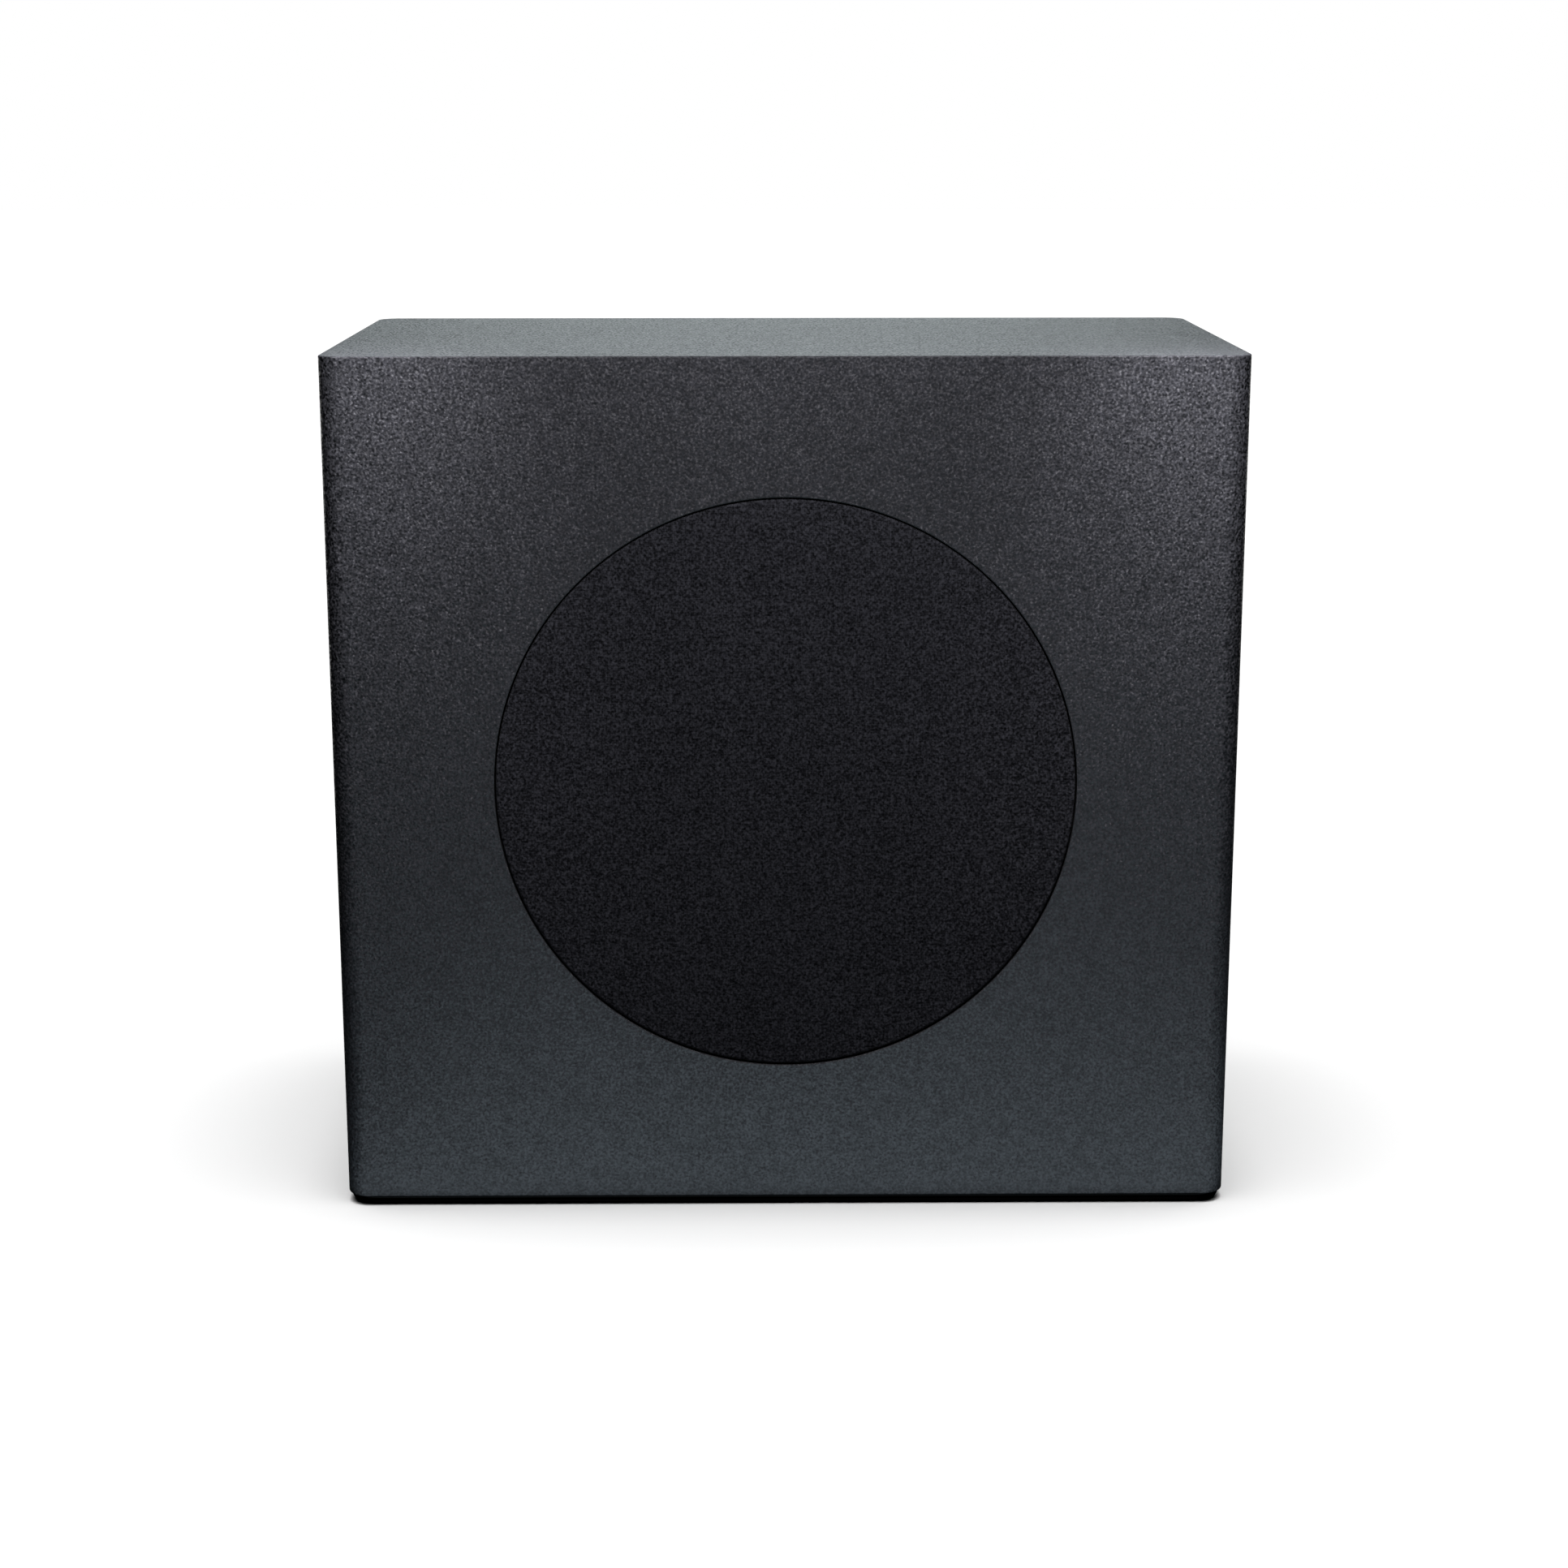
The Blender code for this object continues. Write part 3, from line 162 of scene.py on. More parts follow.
class Shape:
    """A mesh being built from turned, stacked and swept bodies; they stand along Y unless told."""

    def __init__(self):
        self.mesh = bmesh.new()

    def closed(self, rings):
        """Faces from ring to ring, and one at each end."""
        self.mesh.faces.new(rings[0])
        self.mesh.faces.new(rings[-1])
        for ring, following in zip(rings, rings[1:]):
            for index in range(len(ring)):
                after = (index + 1) % len(ring)
                self.mesh.faces.new((ring[index], ring[after], following[after], following[index]))
        return self

    def stack(self, outlines, axis="Y"):
        """A closed body through (outline, level) pairs whose outlines have as many points."""
        rings = []
        for outline, level in outlines:
            rings.append([self.mesh.verts.new(placed(*point, level, axis)) for point in outline])
        return self.closed(rings)

    def prism(self, outline, low, high, axis="Y"):
        return self.stack([(outline, low), (outline, high)], axis)

    def block(self, low, high, corner, edge=0.0, axis="Y", steps=ARC, edge_steps=3):
        """A box with round corners across the axis, and edges rounded at both ends of it."""
        first, second, along = {"X": (1, 2, 0), "Y": (0, 2, 1), "Z": (0, 1, 2)}[axis]
        levels = []
        for step in range(edge_steps + 1 if edge else 1):
            angle = math.pi / 2 * step / edge_steps
            inset = edge * (1 - math.sin(angle))
            depth = edge * (1 - math.cos(angle))
            levels.append((inset, low[along] + depth))
        levels += [(inset, high[along] - level + low[along]) for inset, level in reversed(levels)]
        outlines = []
        for inset, level in levels:
            start = (low[first] + inset, low[second] + inset)
            end = (high[first] - inset, high[second] - inset)
            outlines.append((rectangle(start, end, max(corner - inset, 0.0001), steps), level))
        return self.stack(outlines, axis)

    def turned(self, profile, steps=RING, centre=(0.0, 0.0), axis="Y"):
        """A closed body turned round the axis from the (radius, level) points round its section."""
        rings = []
        for radius, level in profile:
            ring = []
            for step in range(steps if radius > 0 else 1):
                angle = math.tau * step / steps
                first = centre[0] + radius * math.cos(angle)
                second = centre[1] + radius * math.sin(angle)
                ring.append(self.mesh.verts.new(placed(first, second, level, axis)))
            rings.append(ring)
        for ring, following in zip(rings, rings[1:] + rings[:1]):
            if len(ring) == 1 and len(following) == 1:
                continue
            for step in range(steps):
                after = (step + 1) % steps
                corners = [ring[step % len(ring)], ring[after % len(ring)]]
                corners += [following[after % len(following)], following[step % len(following)]]
                self.mesh.faces.new(list(dict.fromkeys(corners)))
        return self

    def lathe(self, corners, wheel=RING, centre=(0.0, 0.0), steps=4, axis="Y"):
        """A body turned from a section with round corners."""
        return self.turned(softened(corners, steps=steps), wheel, centre, axis)

    def rod(self, radius, low, high, centre, steps=SMALL_WHEEL, axis="Y", edge=0.0):
        corners = [(0, low, 0), (radius, low, edge), (radius, high, edge), (0, high, 0)]
        return self.lathe(corners, steps, centre, 3, axis)

    def rods(self, places, radius, low, high, **options):
        for place in places:
            self.rod(radius, low, high, place, **options)
        return self

    def cross(self, centre, level, span, width, axis="Y", depth=0.0009):
        """A cross recess, cut from a level inward: one plus-shaped outline."""
        outline = []
        for quarter in range(4):
            arm = ((span, -width / 2), (span, width / 2), (width / 2, width / 2))
            outline += turned_about(arm, quarter * math.pi / 2, centre)
        return self.prism(outline, level - depth, level + depth, axis)

    def swept(self, route, radius, sides=12):
        """A tube along a route."""
        rings = []
        for place, normal, side in frames(route):
            ring = []
            for step in range(sides):
                angle = math.tau * step / sides
                arm = normal * math.cos(angle) + side * math.sin(angle)
                ring.append(self.mesh.verts.new(place + arm * radius))
            rings.append(ring)
        return self.closed(rings)

    def made(self, name):
        """The object, with its faces pointing out."""
        bmesh.ops.recalc_face_normals(self.mesh, faces=self.mesh.faces)
        data = bpy.data.meshes.new(name)
        self.mesh.to_mesh(data)
        self.mesh.free()
        return added(name, data)


def settle(piece):
    """Applies the piece's modifiers and removes the cutters they used."""
    cutters = [m.object for m in piece.modifiers if m.type == "BOOLEAN"]
    bpy.context.view_layer.update()
    evaluated = piece.evaluated_get(bpy.context.evaluated_depsgraph_get())
    piece.data = bpy.data.meshes.new_from_object(evaluated)
    piece.modifiers.clear()
    for cutter in cutters:
        bpy.data.objects.remove(cutter)


def cut(piece, shape, operation="DIFFERENCE"):
    modifier = piece.modifiers.new("cut", "BOOLEAN")
    modifier.operation = operation
    modifier.object = shape.made(piece.name + "_cutter")
    settle(piece)


def soften_edges(piece, width):
    modifier = piece.modifiers.new("edges", "BEVEL")
    modifier.width = width
    modifier.segments = 2
    modifier.limit_method = "ANGLE"
    modifier.angle_limit = math.radians(30)
    modifier.use_clamp_overlap = True
    settle(piece)


VARIANTS = {  # looks that belong to another look's slot
    "panel_plastic": "black_plastic",
    "capacitor_sleeve": "black_plastic",
    "rubber_glue": "rubber",
    "red_sleeve": "rubber",
    "black_sleeve": "rubber",
    "copper_braid": "copper",
    "winding_tape": "copper",
    "ceramic": "ferrite",
}


def finish(piece, look, *nodes, body="cabinet", flat_normals=False):
    """Shades the piece, gives it its material and its body, and hides the CAD nodes it stands for."""
    piece.data.shade_smooth()
    piece.data.set_sharp_from_angle(angle=SHARP_ANGLE)
    if flat_normals:
        modifier = piece.modifiers.new("normals", "WEIGHTED_NORMAL")
        modifier.keep_sharp = True
        modifier.weight = 100
        settle(piece)
    piece.data.materials.clear()
    piece.data.materials.append(look.material)
    if body:
        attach(piece, body)
    if nodes:
        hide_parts(*nodes)


# ---------------------------------------------------------------- materials


class Look:
    """A material built from nodes, in the piece's own metres."""

    def __init__(self, name, color, roughness, metallic=0.0, **sockets):
        self.slot = VARIANTS.get(name, name)
        self.material = bpy.data.materials.new(name + "_look")
        self.material.use_nodes = True
        self.nodes = self.material.node_tree.nodes
        self.links = self.material.node_tree.links
        self.shader = self.nodes["Principled BSDF"]
        self.set("Base Color", (*color, 1.0))
        self.set("Roughness", roughness)
        self.set("Metallic", metallic)
        for socket, value in sockets.items():
            self.set(socket.replace("_", " "), value)
        self.material.diffuse_color = (*color, 1.0)
        self.coordinates = self.nodes.new("ShaderNodeTexCoord").outputs["Object"]
        self.normal = None

    def set(self, socket, value):
        self.shader.inputs[socket].default_value = value

    def node(self, kind, *values, **named):
        """A node whose inputs are numbers, tuples or the outputs of other nodes."""
        node = self.nodes.new(kind)
        for key, value in (*enumerate(values), *named.items()):
            if isinstance(value, bpy.types.NodeSocket):
                self.links.new(value, node.inputs[key])
            else:
                node.inputs[key].default_value = value
        return node

    def math(self, operation, first, second):
        node = self.node("ShaderNodeMath", first, second)
        node.operation = operation
        return node.outputs[0]

    def mixed(self, first, second, share):
        """The first value by its share, and the second by the rest."""
        rest = self.math("MULTIPLY", second, 1 - share)
        return self.math("ADD", self.math("MULTIPLY", first, share), rest)

    def vector(self, operation, *values):
        node = self.node("ShaderNodeVectorMath", *values)
        node.operation = operation
        return node.outputs[0]

    def noise(self, scale, detail=2.0, roughness=0.5, distortion=0.0, stretch=None, output="Fac"):
        """Noise, with each axis scaled on its own where a stretch is given."""
        places = self.vector("MULTIPLY", self.coordinates, stretch) if stretch else self.coordinates
        node = self.node("ShaderNodeTexNoise", Vector=places, Scale=scale, Detail=detail,
                         Roughness=roughness, Distortion=distortion)
        return node.outputs[output]

    def cells(self, scale):
        return self.node("ShaderNodeTexVoronoi", Vector=self.coordinates, Scale=scale).outputs["Distance"]

    def waves(self, pitch, direction, distortion=0.0):
        """Bands across one axis, one for each pitch in metres."""
        node = self.node("ShaderNodeTexWave", Vector=self.coordinates, Scale=math.pi / (10 * pitch),
                         Distortion=distortion)
        node.bands_direction = direction
        return node.outputs["Fac"]

    def spread(self, value, low, high, to_low=0.0, to_high=1.0):
        """Maps the value from one range to another, smoothly at both ends."""
        node = self.node("ShaderNodeMapRange", value, low, high, to_low, to_high)
        node.interpolation_type = "SMOOTHSTEP"
        return node.outputs["Result"]

    def blend(self, factor, first, second):
        """A colour between two, each a colour or the output of a node."""
        node = self.node("ShaderNodeMix", Factor=factor)
        node.data_type = "RGBA"
        for socket, value in zip((node.inputs[6], node.inputs[7]), (first, second)):
            if isinstance(value, tuple):
                socket.default_value = (*value, 1.0)
            else:
                self.links.new(value, socket)
        return node.outputs[2]

    def color(self, output):
        self.links.new(output, self.shader.inputs["Base Color"])

    def tint(self, value, low, high, dark, pale):
        """Colours the piece from dark to pale as the value goes from low to high."""
        self.color(self.blend(self.spread(value, low, high), dark, pale))

    def wear(self, value, first, second, low=0.3, high=0.7):
        """Changes the roughness from first to second as the value goes from low to high."""
        self.links.new(self.spread(value, low, high, first, second), self.shader.inputs["Roughness"])

    def facets(self, scale, tilt):
        """Tips the surface a little every way, as a grain too fine for relief does."""
        level = self.normal or self.nodes.new("ShaderNodeNewGeometry").outputs["Normal"]
        grain = self.noise(scale, 1, output="Color")
        tipped = self.vector("SUBTRACT", grain, (0.5, 0.5, 0.5))
        tipped = self.vector("MULTIPLY", tipped, (tilt, tilt, tilt))
        self.normal = self.vector("NORMALIZE", self.vector("ADD", tipped, level))
        self.links.new(self.normal, self.shader.inputs["Normal"])

    def bump(self, height, depth, strength):
        """Adds relief of that depth in metres, over any relief made before."""
        node = self.node("ShaderNodeBump", Height=height, Distance=depth, Strength=strength)
        if self.normal:
            self.links.new(self.normal, node.inputs["Normal"])
        self.normal = node.outputs["Normal"]
        self.links.new(self.normal, self.shader.inputs["Normal"])


def scaled(color, factor):
    return tuple(min(1.0, channel * factor) for channel in color)


def vinyl():
    """Embossed vinyl film: a fine pebble grain, its colour darker in the pits as painted shade and paler on
    the tops as painted light; the tops are also shinier.
    """
    look = Look("textured_vinyl", (0.040, 0.041, 0.045), 0.5, Specular_IOR_Level=0.42)
    pebble, clumps = look.noise(900, 1.2), look.noise(210, 1)
    grain = look.spread(look.mixed(pebble, clumps, 0.75), 0.34, 0.68)
    cloudy = look.noise(9, 3)
    tone = look.mixed(grain, cloudy, 0.8)
    # colour from the grain: painted shade in its pits and painted light on its tops, with a cloudy share of
    # the tone that varies at random
    look.color(look.blend(tone, (0.0250, 0.0256, 0.0291), (0.0610, 0.0620, 0.0704)))
    look.wear(grain, 0.62, 0.54, 0.0, 1.0)
    look.bump(grain, 0.00016, 0.6)
    look.bump(cloudy, 0.0006, 0.25)
    look.facets(980, 1.75)
    return look


def knit():
    """Stretched acoustic cloth: rows of small loops, with painted shade between the loops and in a fine
    speckle, and a tone that varies at random.
    """
    look = Look("grille_cloth", (0.012, 0.012, 0.015), 0.92, Sheen_Weight=0.02, Specular_IOR_Level=0.1)
    pitch = 0.00075
    loops = look.math("MULTIPLY", look.waves(pitch, "X", 1.2), look.waves(pitch, "Z", 1.2))
    height = look.mixed(loops, look.spread(look.noise(1000, 1), 0.25, 0.75), 0.25)
    tone = look.mixed(height, look.noise(14), 0.85)
    # painted shade: the colour is darkest between the loops and in the speckle's low spots; a small share of
    # the tone varies at random
    look.color(look.blend(tone, (0.0010, 0.0010, 0.0014), (0.0590, 0.0596, 0.0690)))
    look.bump(height, 0.00020, 0.6)
    look.facets(1050, 2.1)
    return look


def moulded(name="black_plastic", color=(0.012, 0.012, 0.013), roughness=0.45, depth=0.00004):
    """Moulded plastic with a fine spark-eroded texture and slight gloss changes."""
    look = Look(name, color, roughness)
    spark, haze = look.noise(2600, 3, 0.7), look.noise(30, 4, 0.6)
    look.tint(haze, 0.2, 0.85, color, scaled(color, 1.1))
    look.wear(haze, roughness - 0.015, roughness + 0.02, 0.2, 0.8)
    look.bump(spark, depth, 0.5)
    return look


def rubber(name="rubber", color=(0.012, 0.012, 0.012), roughness=0.72):
    """Soft black rubber: a faint bloom and a fine skin."""
    look = Look(name, color, roughness)
    bloom = look.noise(90, 4, 0.65)
    look.tint(bloom, 0.4, 0.75, color, scaled(color, 2))
    look.wear(bloom, roughness - 0.08, roughness + 0.1)
    look.bump(look.noise(3200), 0.00003, 0.4)
    return look


def foam():
    """Closed-cell sealing foam: small open pits over a matt body."""
    look = Look("foam", (0.014, 0.014, 0.015), 0.95)
    pits = look.cells(1500)
    # painted shade: the colour is darker in the pits
    look.tint(pits, 0.1, 0.5, (0.006, 0.006, 0.006), (0.026, 0.026, 0.027))
    look.bump(pits, 0.00025, 0.8)
    return look


def pulp():
    """Coated paper pulp: short fibres lying every way, and a thin uneven lacquer."""
    look = Look("coated_paper", (0.020, 0.020, 0.022), 0.62)
    fibres, cloud = look.noise(1300, 4, 0.7, 1.4), look.noise(70, 3)
    look.tint(fibres, 0.3, 0.75, (0.012, 0.012, 0.013), (0.036, 0.036, 0.039))
    look.wear(cloud, 0.57, 0.67, 0.2, 0.8)
    look.bump(fibres, 0.00016, 0.7)
    look.bump(cloud, 0.0002, 0.2)
    return look


def powder_coat():
    """Black powder coat on steel: a close orange-peel skin, with small pale flecks that are painted glints.
    """
    look = Look("black_steel", (0.016, 0.016, 0.017), 0.42)
    peel = look.noise(1500)
    # painted highlight: small pale flecks in the colour stand in for glints
    look.tint(look.noise(2400, 1), 0.62, 0.78, (0.013, 0.013, 0.014), (0.032, 0.032, 0.034))
    look.wear(peel, 0.36, 0.52)
    look.bump(peel, 0.00007, 0.6)
    return look


def zinc():
    """Zinc-plated steel: cloudy spangle with fine rolling lines."""
    color = (0.56, 0.57, 0.59)
    look = Look("zinc_plate", color, 0.42, 1.0)
    lines = look.noise(900, stretch=(1.0, 1.0, 0.3))
    look.tint(look.noise(120, 5, 0.6), 0.3, 0.7, scaled(color, 0.8), color)
    look.wear(lines, 0.36, 0.50)
    look.bump(lines, 0.00001, 0.3)
    return look


def ferrite():
    """Sintered ferrite: dull dark grey with small pits and chalky marks."""
    look = Look("ferrite", (0.040, 0.038, 0.038), 0.62)
    marks = look.noise(160, 5, 0.7)
    look.tint(marks, 0.35, 0.75, (0.026, 0.025, 0.025), (0.075, 0.072, 0.070))
    look.wear(marks, 0.5, 0.75)
    look.bump(look.noise(1900, 3), 0.0001, 0.6)
    return look


def impregnated_cotton():
    """Resin-stiffened cotton: a plain square weave, darker between its threads with painted shade."""
    look = Look("cotton_weave", (0.42, 0.25, 0.07), 0.7)
    pitch = 0.0009
    weave = look.math("MULTIPLY", look.waves(pitch, "X", 0.4), look.waves(pitch, "Z", 0.4))
    # painted shade: the colour is darker in the gaps of the weave
    look.tint(weave, 0.0, 0.8, (0.20, 0.10, 0.022), (0.50, 0.31, 0.10))
    look.wear(look.noise(80, 3), 0.55, 0.85)
    look.bump(weave, 0.0002, 0.8)
    return look


def wound_copper(name="copper", axis="Y", pitch=0.0004):
    """Enamelled wire: close turns with a warm varnish, darker between the turns with painted shade."""
    look = Look(name, (0.72, 0.32, 0.16), 0.3, 1.0)
    turns = look.waves(pitch, axis)
    # painted shade: the colour is darker in the grooves between the turns
    look.tint(turns, 0.0, 0.6, (0.28, 0.09, 0.035), (0.80, 0.38, 0.20))
    look.wear(look.noise(200, 3), 0.22, 0.42)
    look.bump(turns, 0.0001, 0.8)
    return look


def fibreboard(name, pale, dark, roughness=0.85, stained_from=None):
    """MDF: a felt of fine fibres, with a few darker flecks, and black stain from a level back."""
    look = Look(name, pale, roughness)
    fibres = look.noise(1100, 4, 0.7, 0.8)
    flecks = look.spread(look.noise(420, stretch=(1.0, 0.35, 1.0)), 0.62, 0.75)
    tone = look.math("SUBTRACT", look.spread(fibres, 0.25, 0.75), look.math("MULTIPLY", flecks, 0.5))
    board = look.blend(tone, dark, pale)
    if stained_from:
        split = look.nodes.new("ShaderNodeSeparateXYZ")
        look.links.new(look.coordinates, split.inputs[0])
        board = look.blend(look.spread(split.outputs["Y"], stained_from - MM, stained_from), board, STAIN)
    look.color(board)
    look.bump(fibres, 0.00012, 0.7)
    return look


def circuit_laminate():
    """Green solder mask over copper: straight tracks show as lighter bands, on a fine glass weave."""
    look = Look("circuit_board", (0.014, 0.085, 0.034), 0.32)
    across = look.spread(look.waves(0.0022, "X"), 0.72, 0.84)
    along = look.spread(look.waves(0.0026, "Z"), 0.72, 0.84)
    areas = look.spread(look.noise(70, 0, stretch=(1.0, 0.02, 1.0)), 0.47, 0.49)
    turned = look.math("SUBTRACT", 1.0, areas)
    tracks = look.math("ADD", look.math("MULTIPLY", across, areas), look.math("MULTIPLY", along, turned))
    look.color(look.blend(tracks, (0.009, 0.062, 0.025), (0.030, 0.155, 0.062)))
    look.bump(tracks, 0.00005, 0.7)
    look.bump(look.math("MULTIPLY", look.waves(0.0012, "X"), look.waves(0.0012, "Z")), 0.00002, 0.4)
    return look


def extruded_aluminium():
    """Extruded aluminium: long die lines and a light matt bloom."""
    color = (0.62, 0.63, 0.65)
    look = Look("aluminium", color, 0.38, 1.0)
    lines = look.noise(1500, stretch=(1.0, 1.0, 0.02))
    look.tint(look.noise(70, 3), 0.3, 0.7, scaled(color, 0.82), color)
    look.wear(lines, 0.3, 0.5)
    look.bump(lines, 0.00003, 0.5)
    return look


def polyester_fibre():
    """Loose white fibre: tangled strands with shaded hollows."""
    look = Look("wadding", (0.72, 0.72, 0.70), 0.95, Sheen_Weight=0.3)
    strands = look.noise(420, 6, 0.75, 2.5)
    look.tint(strands, 0.25, 0.7, (0.42, 0.42, 0.41), (0.80, 0.80, 0.78))
    look.bump(strands, 0.0012, 0.8)
    return look


def clear_lens():
    """A clear light pipe, frosted a little."""
    look = Look("light_pipe", (0.60, 0.72, 0.76), 0.16, Transmission_Weight=0.55, IOR=1.58)
    frost = look.noise(900)
    look.wear(frost, 0.1, 0.26)
    look.bump(frost, 0.00002, 0.3)
    return look


def wire_sleeve(name, color):
    """PVC wire sleeve: smooth, with faint drawing marks."""
    look = Look(name, color, 0.38)
    marks = look.noise(260, 3)
    look.tint(marks, 0.3, 0.7, color, scaled(color, 1.35))
    look.wear(marks, 0.3, 0.46)
    look.bump(look.noise(1500), 0.00002, 0.4)
    return look


PALE_FIBRE = (0.40, 0.27, 0.16)
DARK_FIBRE = (0.25, 0.155, 0.085)
STAIN = (0.010, 0.010, 0.011)

VINYL = vinyl()
KNIT = knit()
PLASTIC = moulded()
RUBBER = rubber()
FOAM = foam()
PULP = pulp()
STEEL = powder_coat()
ZINC = zinc()
FERRITE = ferrite()
COTTON = impregnated_cotton()
COPPER = wound_copper()
MDF = fibreboard("mdf", PALE_FIBRE, DARK_FIBRE)
BACK_MDF = fibreboard("mdf_stained_edges", PALE_FIBRE, DARK_FIBRE, stained_from=BACK - 0.0065)
DARK_MDF = fibreboard("blackened_mdf", (0.020, 0.020, 0.021), (0.008, 0.008, 0.009), 0.8)
LAMINATE = circuit_laminate()
ALUMINIUM = extruded_aluminium()
FIBRE = polyester_fibre()
LENS = clear_lens()
PANEL_PLASTIC = moulded("panel_plastic", (0.014, 0.014, 0.015), 0.5, 0.00006)
GLUE = rubber("rubber_glue", (0.016, 0.015, 0.014), 0.35)
BRAID = wound_copper("copper_braid", "X", 0.0006)
CERAMIC = moulded("ceramic", (0.16, 0.11, 0.07), 0.55)
TAPE = wound_copper("winding_tape", "Y", 0.0008)
SLEEVE = moulded("capacitor_sleeve", (0.010, 0.012, 0.020), 0.3, 0.00001)
RED_WIRE = wire_sleeve("red_sleeve", (0.38, 0.02, 0.015))
BLACK_WIRE = wire_sleeve("black_sleeve", (0.014, 0.014, 0.014))


# ---------------------------------------------------------------- cabinet

EDGE_RADIUS = 0.0095  # the four upright edges, as in the frame
SKIN_EDGE = 0.0007  # the wrap's turn at the top and bottom
SKIN = 0.0005
GRILLE_GAP = 0.001
GRILLE_RADIUS = CLOTH.half.x
OPENING = GRILLE_RADIUS + GRILLE_GAP
PLATE_CORNER = 0.004
SOCKETS = [Place(f"grille_socket_{index + 1}") for index in range(4)]
FEET = {name: Place(f"foot_{name}") for name in ("front_left", "front_right", "back_left", "back_right")}


def plate_window(margin):
    low = (PLATE.low.x - margin, PLATE.low.z - margin)
    high = (PLATE.high.x + margin, PLATE.high.z + margin)
    return rectangle(low, high, PLATE_CORNER + margin)


def make_skin():
    """The vinyl wrap, hollow, with its openings for the grille, the port and the amplifier plate."""
    past, lip = 0.004, 0.0004
    inset = Vector((SKIN, SKIN, SKIN))
    skin = Shape().block(WRAP.low, WRAP.high, EDGE_RADIUS, SKIN_EDGE, "Z", 14, 4).made("cabinet_skin")
    cut(skin, Shape().block(WRAP.low + inset, WRAP.high - inset, EDGE_RADIUS - SKIN, axis="Z", steps=14))
    profile = [(0, FRONT - past), (OPENING + past, FRONT - past), (OPENING + lip, FRONT)]
    profile += [(OPENING, FRONT + lip), (OPENING, FRONT + past), (0, FRONT + past)]
    openings = Shape().turned(profile, FINE_RING, CLOTH.centre)
    openings.rod(PORT.half.x + GAP, BACK - past, BACK + past, PORT.centre, RING)
    cut(skin, openings.prism(plate_window(GAP), BACK - past, BACK + past))
    finish(skin, VINYL, "cabinet_wrap", flat_normals=True)


def make_front_board():
    """The front board, its front corners round and its opening as wide as the wrap's."""
    board, radius = Place("front_baffle"), EDGE_RADIUS - SKIN - GAP
    low, high = board.low, board.high
    corners = [(low.x, low.y, radius), (high.x, low.y, radius), (high.x, high.y, 0), (low.x, high.y, 0)]
    piece = Shape().prism(softened(corners, steps=10), low.z, high.z, "Z").made("front_board")
    cut(piece, Shape().rod(OPENING, low.y - MM, high.y + MM, CLOTH.centre, FINE_RING))
    finish(piece, DARK_MDF, "front_baffle")


def make_driver_board():
    """The board behind it, with a step for the woofer's flange and holes for the grille's sockets."""
    board = Place("driver_baffle")
    start, end = board.low.y - MM, board.high.y + MM
    flange, step, cutout, hole = BASKET.half.x + GAP, board.low.y + 0.0033, 0.0925, 0.0043
    piece = Shape().block(board.low, board.high, 0.0006, 0.0004).made("driver_board")
    profile = [(0, start), (flange, start), (flange, step), (cutout, step), (cutout, end), (0, end)]
    cut(piece, Shape().turned(profile, centre=MIDDLE))
    cut(piece, Shape().rods([socket.centre for socket in SOCKETS], hole, start, end))
    finish(piece, DARK_MDF, "driver_baffle")


def dress(node, look):
    """Gives a CAD node that is shown as it is its material."""
    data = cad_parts[node].data
    data.materials.clear()
    data.materials.append(look.material)


def dress_panels():
    """The boards and the seal that stay as the frame has them."""
    for node in ("left_panel", "right_panel", "top_panel", "bottom_panel"):
        dress(node, MDF)
    dress("back_panel", BACK_MDF)
    dress("plate_seal", FOAM)


def make_base():
    """The bottom plate with its foot pockets, and the screws sunk in it."""
    base = Place("base_plate")
    under, pocket = base.low.z - MM, FEET["front_left"].high.z + GAP
    plate = Shape().block(base.low, base.high, 0.012, 0.0004, "Z", 10).made("bottom_plate")
    pockets = Shape()
    for foot in FEET.values():
        pockets.rod(foot.half.x + GAP, under, pocket, foot.middle.xy, WHEEL, "Z")
    well, well_floor, margin, head = 0.0040, base.low.z + 0.0011, 0.010, 0.0034
    wells = [(base.low.x + inset * (base.high.x - base.low.x), side * (base.half.y - margin))
             for inset in (0.25, 0.5, 0.75) for side in (-1, 1)]
    cut(plate, pockets.rods(wells, well, under, well_floor, axis="Z"))
    finish(plate, PLASTIC, "base_plate")
    for index, place in enumerate(wells):
        screw = Shape().rod(head, base.low.z + 0.0002, well_floor - 0.0001, place, axis="Z", edge=0.0002)
        piece = screw.made(f"base_screw_{index + 1}")
        cut(piece, Shape().cross(place, base.low.z, 0.0022, 0.0007, "Z"))
        finish(piece, STEEL)


def make_feet():
    """The four rubber feet, each with three fine round grooves underneath."""
    groove, slope = 0.0003, 0.0004
    for name, foot in FEET.items():
        radius, top = foot.half.x, foot.high.z
        corners = [(0, 0, 0)]
        for middle in (radius * 0.28, radius * 0.52, radius * 0.76):
            corners += [(middle - slope, 0, 0), (middle, groove, 0), (middle + slope, 0, 0)]
        corners += [(radius, 0, 0.0006), (radius, top, 0.0002), (0, top, 0)]
        pad = Shape().lathe(corners, WHEEL, foot.middle.xy, axis="Z").made(f"foot_pad_{name}")
        finish(pad, RUBBER, f"foot_{name}")


# ---------------------------------------------------------------- grille

CLOTH_THICKNESS = 0.0006
INSIDE_FACE = CLOTH.low.y + CLOTH_THICKNESS


